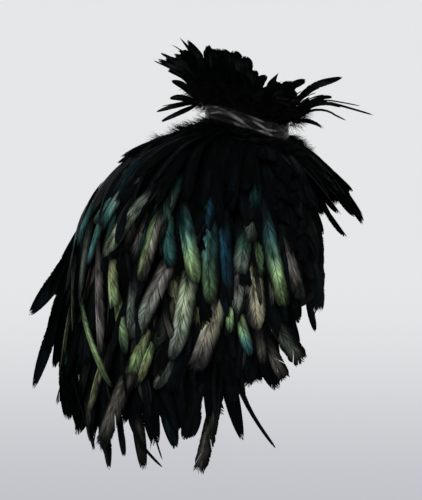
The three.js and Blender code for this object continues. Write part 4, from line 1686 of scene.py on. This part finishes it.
@dataclass
class Plumage:
    """All the feathers of the cape and its collar.

    Attributes:
        bench: the masters of the feathers.
        chance: the source of every random draw.
        finishes: the feathers' finishes by slot.
        strip_run: how far the first strip is from the neck.
        hem_share: the share of the cloth's length where the hem's strip is sewn.
        hem_length: the length of a hem feather where the outline leaves lengths as they are.
        high_tier: a tier nearer the neck than this share of the cloth's length makes the outline.
        halved_share: the share of feathers whose tones lie on their two sides, as painted sheen.
        show_root: how far the roots of single feathers stand off the cloth.
        hidden_share: how long a single feather's hidden root is, as a share of what shows.
        ring_roots: the runs of the ring's strips.
        ring_each: how many feathers each has.
        ring_length: how long its feathers are.
        bare_length: how long they are on the bare side.
        ring_loose: how far every third feather stands off the outline.
        collar_roots: the shares of the stand's height of the collar's strips.
        collar_lengths: the shares of the way to the collar's edge that their feathers reach.
        collar_each: how many feathers each has.
        down_reach: how far from the neck the down goes.
        bare_reach: how far it goes where the neck is bare.
        neck_tufts: how many tufts of down the ring has.
        collar_tufts: how many the collar has.
        back_show: how many single feathers the back has.
        back_from: the angle where they start.
        back_width: how many degrees they cover.
        back_length: how much of each shows.
        slivers: how many slivers lie over the front.
        sliver_angles: the angles that they lie between.
        sliver_tips: the runs that their tips lie between.
        sliver_length: how much of each shows.
        hem_strands: how many quills hang below the hem.
    """

    bench: FeatherBench
    chance: np.random.Generator
    finishes: dict[str, FeatherFinish]
    strip_run: float = 9
    hem_share: float = 0.95
    hem_length: float = 205
    high_tier: float = 0.4
    halved_share: float = 0.25
    show_root: float = 14.0
    hidden_share: float = 0.3
    ring_roots: tuple[float, ...] = (3, 15, 30, 46)
    ring_each: int = 46
    ring_length: float = 124
    bare_length: float = 136
    ring_loose: float = 8
    collar_roots: tuple[float, ...] = (0.3, 0.6, 0.9)
    collar_lengths: tuple[float, ...] = (0.68, 0.8, 0.92)
    collar_each: int = 40
    down_reach: float = 84
    bare_reach: float = 32
    neck_tufts: int = 560
    collar_tufts: int = 400
    back_show: int = 44
    back_from: float = -88
    back_width: float = 50
    back_length: float = 98
    slivers: int = 38
    sliver_angles: Pair = (-6, 60)
    sliver_tips: Pair = (250, 520)
    sliver_length: float = 72
    hem_strands: int = 11

    def spread(self, amount: float) -> float:
        """Returns a chance value from minus amount to amount."""
        return float(self.chance.uniform(-amount, amount))

    def between(self, low: float, high: float) -> float:
        """Returns a chance value from low to high."""
        return float(self.chance.uniform(low, high))

    def any_of(self, options: Sequence) -> object:
        """Returns one of the options."""
        return options[int(self.chance.integers(len(options)))]

    def turned(self, stray: Stray) -> dict[str, float]:
        """Returns chance values for how a feather is turned and how much painted shade one side has, as
        values of its plume.
        """
        names = ("lean", "sweep", "roll", "twist", "shade")
        return {name: self.spread(getattr(stray, name)) for name in names if getattr(stray, name)}

    def lay(self, mesh: PlumeMesh, feathers: Iterable[ShowFeather]) -> None:
        """Adds single feathers to a piece."""
        mesh.plumes.extend(self.show_plume(feather) for feather in feathers)

    def wear(self, mesh: PlumeMesh, name: str, look: str, nodes: Sequence[str]) -> None:
        """Joins a piece's feathers and dresses it in one of the finishes."""
        finish = self.finishes[look]
        dress(mesh.build(name), finish.make(), nodes)

    def hem(self, angle: float) -> float:
        """Returns the run of the lowest feathers at an angle."""
        return float(np.interp(angle, *zip(*HEM)))

    def tip_share(self, angle: float) -> float:
        """Returns what the cape's outline scales the feathers' lengths by at an angle."""
        hem_root = self.hem_share * CAPE.at("cloth", angle) + self.strip_run
        return (self.hem(angle) - hem_root) / self.hem_length

    def flow(self, angle: float, run: float) -> float:
        """Returns how far feathers lean at a place, in degrees.

        They lean outwards high up, in again near the hem, and back at the front edge, and they
        gather in soft clumps.
        """
        forward = 6 * smooth(36, 60, angle) - 17 * smooth(62, 84, angle)
        backward = -9 * (1 - smooth(-40, 14, angle)) * (1 - smooth(280, 400, run))
        gathered = 13 * (1 - smooth(-30, 15, angle)) * smooth(370, 470, run)
        clumps = 6 * math.sin(0.19 * angle + 0.013 * run) + 6 * math.sin(0.43 * angle - 0.03 * run)
        return float(forward + backward + gathered + clumps)

    def tone_for(self, tones: Sequence[Tones], angle: float) -> Tones:
        """Returns a feather's tones, which are mostly black towards the front edge."""
        if self.chance.uniform() < smooth(40, 58, angle):
            return self.any_of(BLACKS)
        return self.any_of(tones)

    def tier(self, tier: Tier) -> None:
        """Makes one tier over the long side."""
        stray = TIER_STRAY
        mesh = PlumeMesh(CAPE, self.bench)
        for strip in range(tier.strips):
            share = tier.root + tier.spread * strip / tier.strips
            for step in range(tier.each):
                angle = ROW_BACK_EDGE + (ROW_FRONT_EDGE - ROW_BACK_EDGE) * (step + 0.5) / tier.each
                angle += self.spread(stray.angle)
                root = self.strip_run + share * CAPE.at("cloth", angle) + self.spread(stray.root)
                length = tier.length * self.tip_share(angle) * (1 + self.spread(stray.length))
                # High tiers lie flat where they make the cape's outline.
                outline = ramp(12, -12, angle) if tier.root < self.high_tier else 0
                front = ramp(28, 60, angle)
                mesh.plumes.append(
                    Plume(
                        kind=self.any_of(tier.kinds),
                        tones=self.tone_for(tier.tones, angle),
                        angle=angle,
                        root=root,
                        length=length,
                        width=tier.width * (1 + self.spread(stray.width)),
                        lift=4 + self.spread(stray.lift),
                        rise=(tier.rise + self.spread(stray.rise)) * (1 - 0.8 * outline),
                        bow=(3 + self.spread(stray.bow)) * (1 - outline),
                        lean=self.flow(angle, root + 0.5 * length) + self.spread(stray.lean),
                        sweep=self.spread(tier.sweep) * (1 - 0.6 * front),
                        roll=self.spread(stray.roll),
                        twist=self.spread(stray.twist),
                        shade=self.spread(stray.shade),
                        halved=self.chance.uniform() < self.halved_share,
                    )
                )
        if tier is TIERS[-1]:
            self.strands(mesh)
        self.wear(mesh, tier.name, tier.slot, [tier.node])

    def strands(self, mesh: PlumeMesh) -> None:
        """Adds the thin quills that hang below the hem."""
        stray = STRAND_STRAY
        for _ in range(self.hem_strands):
            angle = self.between(ROW_BACK_EDGE, 34)
            root = CAPE.at("cloth", angle) * self.between(0.7, 0.98)
            end = CAPE.at("tips", angle) - 10 * self.between(0, 1)
            mesh.plumes.append(
                Plume(
                    kind=Kind.QUILL,
                    tones=JET,
                    angle=angle,
                    root=root,
                    length=end - root,
                    width=10 + self.spread(stray.width),
                    rise=18 + self.spread(stray.rise),
                    **self.turned(stray),
                )
            )

    def show_plume(self, feather: ShowFeather) -> Plume:
        """Returns the whole feather for the part of it that shows."""
        (angle, root), (tip_angle, tip_run) = feather.root, feather.tip
        reach = float(CAPE.section(0.5 * (angle + tip_angle), 0.5 * (root + tip_run))[0])
        aside = math.radians(tip_angle - angle) * reach - feather.sweep
        shown = math.hypot(tip_run - root, aside)
        hidden = self.hidden_share * shown
        lean = math.atan2(aside, tip_run - root)
        return Plume(
            kind=feather.kind,
            tones=feather.tones,
            angle=angle - math.degrees(hidden * math.sin(lean) / reach),
            root=root - hidden * math.cos(lean),
            length=shown + hidden,
            width=feather.width,
            lift=self.show_root,
            rise=feather.lift - self.show_root,
            ease=feather.ease,
            bow=2,
            lean=math.degrees(lean),
            sweep=feather.sweep,
            roll=feather.roll + self.spread(SHOW_STRAY.roll),
            twist=self.spread(SHOW_STRAY.twist),
            shade=feather.shade,
            glow=feather.glow,
            halved=feather.halved,
        )

    def back_feather(self, copy: int) -> ShowFeather:
        """Returns a single feather of the back, in the bands one after the other."""
        stray = BACK_STRAY
        band = BACK_BANDS[copy % len(BACK_BANDS)]
        # Steps of the golden ratio spread the feathers evenly with no visible order.
        angle = self.back_from + self.back_width * ((copy * GOLDEN + 0.05 * band.share) % 1)
        tips = CAPE.at("tips", angle)
        root = tips * (band.share + self.spread(stray.root))
        lean = self.flow(angle, root) + self.spread(stray.lean)
        tip = root + self.back_length + self.spread(stray.length)
        turn = math.degrees(math.radians(lean) * (tip - root) / float(CAPE.section(angle, tip)[0]))
        return ShowFeather(
            kind=self.any_of(band.kinds),
            tones=band.tones,
            root=(angle, root),
            tip=(angle + turn, min(tip, tips - 12)),
            width=27 + self.spread(stray.width),
            shade=self.spread(stray.shade),
            glow=0.95 + self.spread(stray.glow),
            lift=19 + 14 * ramp(0.4, 0.6, band.share) + self.spread(stray.lift),
            sweep=self.spread(stray.sweep),
        )

    def sliver(self) -> ShowFeather:
        """Returns a thin black feather that breaks up the bright ones at the front."""
        stray = SLIVER_STRAY
        angle = self.between(*self.sliver_angles)
        tip = min(self.between(*self.sliver_tips), self.hem(angle) - 14)
        return ShowFeather(
            kind=self.any_of((Kind.LEAF, Kind.SICKLE, Kind.HACKLE)),
            tones=self.any_of((*BLACKS, (Tone.BLACK, Tone.UMBER))),
            root=(angle, tip - self.sliver_length - self.spread(stray.length)),
            tip=(angle + self.spread(stray.angle), tip),
            width=12 + self.spread(stray.width),
            glow=0.7,
            lift=33 + self.spread(stray.lift) - 10 * ramp(10, -12, angle),
            sweep=self.spread(stray.sweep),
        )

    def show(self) -> None:
        """Lays the feathers that show their whole vanes over the tiers."""
        mesh = PlumeMesh(CAPE, self.bench)
        self.lay(mesh, SHOW_FEATHERS)
        self.lay(mesh, (self.back_feather(copy) for copy in range(self.back_show)))
        self.lay(mesh, (self.sliver() for _ in range(self.slivers)))
        self.wear(mesh, "show_feathers", "show", [])

    def ring(self) -> None:
        """Makes the ring of hackles all round the neck."""
        stray = RING_STRAY
        mesh = PlumeMesh(CAPE, self.bench)
        for strip, root in enumerate(self.ring_roots):
            for step in range(self.ring_each):
                angle = FULL_TURN * (step + 0.5 * (strip % 2)) / self.ring_each
                angle += self.spread(stray.angle)
                bare = within(angle, BARE_SIDE)
                full = self.bare_length if bare else self.ring_length
                ragged = stray.length * (2 if bare else 1)
                length = full * (1 + self.spread(ragged)) - 0.25 * root
                length *= 1 - 0.36 * hill(*RING_SHORT_FRONT, angle)
                length *= 1 + 0.14 * hill(*RING_LONG_FRONT, angle)
                # The ring lies flat where it makes the cape's outline, but for some loose feathers.
                flat = hill(*RING_OUTLINE, signed(angle))
                loose = self.ring_loose if step % 3 == 0 else 0
                kinds = BARE_KINDS if bare else RING_KINDS
                mesh.plumes.append(
                    Plume(
                        kind=self.any_of(kinds),
                        tones=self.any_of(BLACKS),
                        angle=angle,
                        root=root + self.spread(stray.root),
                        length=length,
                        width=25 * (1 + self.spread(stray.width)),
                        lift=2,
                        rise=(10 + self.spread(stray.rise)) * (1 - 0.7 * flat) + loose * flat,
                        bow=(1 + self.spread(stray.bow)) * (1 - flat),
                        **self.turned(stray),
                    )
                )
        self.lay(mesh, RING_FEATHERS)
        self.wear(mesh, "hackle_ring", "hackle", ["row_1_neck"])

    def collar(self) -> None:
        """Makes the flared collar's feathers, which are fewer and thinner at the front left."""
        stray = COLLAR_STRAY
        mesh = PlumeMesh(COLLAR, self.bench)
        for strip, share in enumerate(self.collar_roots):
            for step in range(self.collar_each):
                angle = FULL_TURN * (step + 0.5 * (strip % 2)) / self.collar_each
                angle += self.spread(stray.angle)
                thin = within(angle, THIN_COLLAR)
                root = share * COLLAR.at("cloth", angle)
                length = (COLLAR.at("tips", angle) - root) * (0.96 + self.spread(stray.length))
                length *= self.collar_lengths[strip]
                for span, part in COLLAR_CUTS:
                    if within(angle, span):
                        length *= part
                width = (10 if thin else 19) * (1 + self.spread(stray.width))
                plume = Plume(
                    kind=self.any_of(THIN_KINDS if thin else COLLAR_KINDS),
                    tones=self.any_of(BLACKS),
                    angle=angle,
                    root=root,
                    length=length,
                    width=width,
                    lift=3,
                    rise=4 + self.spread(stray.rise),
                    **self.turned(stray),
                )
                if not thin or step % 2:
                    mesh.plumes.append(plume)
        mesh.plumes.extend(COLLAR_PLUMES)
        self.wear(mesh, "collar_plumes", "hackle", ["collar_feathers"])

    def down(self) -> None:
        """Makes the fluff that covers the roots of the ring and of the collar."""
        stray = NECK_DOWN_STRAY
        neck = PlumeMesh(CAPE, self.bench)
        for _ in range(self.neck_tufts):
            angle = self.between(0, FULL_TURN)
            reach = self.bare_reach if within(angle, BARE_NECK) else self.down_reach
            root = reach * self.between(0, 1)
            neck.plumes.append(
                Plume(
                    kind=Kind.DOWN,
                    tones=JET,
                    angle=angle,
                    root=root,
                    length=19 + self.spread(stray.length),
                    width=15 + self.spread(stray.width),
                    lift=1 + 0.05 * root + 2 * self.between(0, 1),
                    rise=self.spread(stray.rise) - 1,
                    **self.turned(stray),
                )
            )
        stray = COLLAR_DOWN_STRAY
        collar = PlumeMesh(COLLAR, self.bench)
        for copy in range(self.collar_tufts):
            angle = self.between(0, FULL_TURN)
            top = COLLAR.at("cloth", angle) + 8
            # Every third tuft lies inside the stand, and none of those at its foot.
            lowest, lift, rise, share = (0.3, -6, -2, 0.5) if copy % 3 == 0 else (0, 3, 3, 1)
            collar.plumes.append(
                Plume(
                    kind=Kind.DOWN,
                    tones=JET,
                    angle=angle,
                    root=top * self.between(lowest, 1),
                    length=20 + self.spread(stray.length),
                    width=22 + self.spread(stray.width),
                    lift=lift + 3 * self.between(0, 1),
                    rise=rise + self.spread(share * stray.rise),
                    **self.turned(stray),
                )
            )
        finish = DownFinish()
        material = finish.make()
        dress(neck.build("neck_down"), material, [])
        dress(collar.build("collar_down"), material, [])

    def build(self) -> None:
        """Makes every tier, the ring, the collar and the down."""
        for tier in TIERS:
            self.tier(tier)
        self.show()
        self.ring()
        self.collar()
        self.down()


@dataclass(frozen=True)
class Lamp:
    """A soft square lamp: its place from the cape as the camera sees it, its size and its power."""

    name: str
    right: float
    near: float
    up: float
    size: float
    power: float


@dataclass(frozen=True)
class Studio:
    """The camera, the floor and the lights.

    Attributes:
        azimuth: the camera's place round the cape, from the wearer's front towards their left.
        distance: metres from the camera to the neck's axis.
        aim: how far right of and above the origin the middle of the picture is, in metres.
        lens: the focal length in millimetres.
        floor_height: the floor's height in metres.
        floor_radius: how far the floor reaches.
        wall: the colour of the wall all round.
        skirting: its colour at the floor's height.
        ceiling: its colour high up.
        lamps: the lamps.
    """

    azimuth: float = -42
    distance: float = 2.2
    aim: Pair = (-0.056, -0.187)
    lens: float = 101.4
    floor_height: float = -1.3
    floor_radius: float = 3.2
    wall: Colour = (0.79, 0.795, 0.805, 1)
    skirting: Colour = (0.53, 0.545, 0.585, 1)
    ceiling: Colour = (0.3, 0.305, 0.31, 1)
    lamps: tuple[Lamp, ...] = (
        Lamp("key", -0.6, 1.9, 1.5, 1.3, 44),
        Lamp("fill", 2.2, 0.8, 0.5, 1.6, 10),
        Lamp("rim", -1.8, -1.2, 1.2, 1.2, 6),
    )

    def build(self) -> None:
        """Makes the camera, the floor and the lights."""
        turn = math.radians(self.azimuth)
        right = Vector((math.cos(turn), math.sin(turn), 0))
        near = Vector((math.sin(turn), -math.cos(turn), 0))
        target = right * self.aim[0] + Vector((0, 0, self.aim[1]))
        eye = bpy.data.objects.new("camera", bpy.data.cameras.new("camera"))
        eye.data.lens = self.lens
        eye.location = target + near * self.distance
        eye.rotation_euler = (-near).to_track_quat("-Z", "Y").to_euler()
        bpy.context.scene.collection.objects.link(eye)
        bpy.context.scene.camera = eye
        bpy.ops.object.select_all(action="DESELECT")
        bpy.ops.mesh.primitive_circle_add(
            vertices=96, radius=self.floor_radius, fill_type="NGON", location=(0, 0, self.floor_height)
        )
        floor = bpy.context.active_object
        floor.name = "studio_floor"
        floor.data.materials.append(PaperFinish().make())
        floor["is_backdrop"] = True
        bpy.context.scene.view_settings.view_transform = "Standard"
        for lamp in self.lamps:
            self.light(lamp, right * lamp.right + near * lamp.near + Vector((0, 0, lamp.up)), target)
        self.sky()

    def light(self, lamp: Lamp, place: Vector, target: Vector) -> None:
        """Hangs a lamp that faces a target."""
        hung = bpy.data.objects.new(lamp.name, bpy.data.lights.new(lamp.name, "AREA"))
        hung.data.size = lamp.size
        hung.data.energy = lamp.power
        hung.location = place
        hung.rotation_euler = (target - place).to_track_quat("-Z", "Y").to_euler()
        bpy.context.scene.collection.objects.link(hung)

    def sky(self) -> None:
        """Lights the studio with a pale grey wall all round."""
        world = bpy.data.worlds.new("studio_wall")
        bpy.context.scene.world = world
        graph = Graph(world)
        direction = graph.node("ShaderNodeTexCoord", {}, {}, "Generated")
        height = graph.split(direction)[2]
        wall = graph.mix(height.between(-0.02, -0.19), self.wall, self.skirting)
        above = height.math("ABSOLUTE").between(0.2, 0.75)
        graph.finish(Color=graph.mix(above, wall, self.ceiling), Strength=1.0)


FINISHES = {
    "hackle": FeatherFinish("hackle_black", "hackle", 0.4, 0.1, 0.0, 0.006),
    "teal": FeatherFinish("feather_teal", "teal", 2.0, 0.2, 0.3, 0.01),
    "bronze": FeatherFinish("feather_bronze", "bronze", 2.5, 0.2, 0.3, 0.015),
    "tail": FeatherFinish("feather_tail", "tail", 1.8, 0.2, 0.1, 0.012),
    "show": FeatherFinish("feather_show", "bronze", 4.5, 0.2, 0.3, 0.02),
}


def corners(box: Sequence[Vector]) -> list[list[float]]:
    """Returns a box as plain lists."""
    return [list(corner) for corner in box]


def main() -> None:
    """Builds the cape over its frame."""
    logging.basicConfig(level=logging.INFO, format="%(name)s: %(message)s")
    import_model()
    solid_box = corners(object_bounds())
    Studio().build()
    NeckBand().build(SatinFinish())
    Foundation().build(ClothFinish())
    Plumage(FeatherBench(), np.random.default_rng(SEED), FINISHES).build()
    {"cad": solid_box, "visual": corners(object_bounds())}


if __name__ == "__main__":
    main()
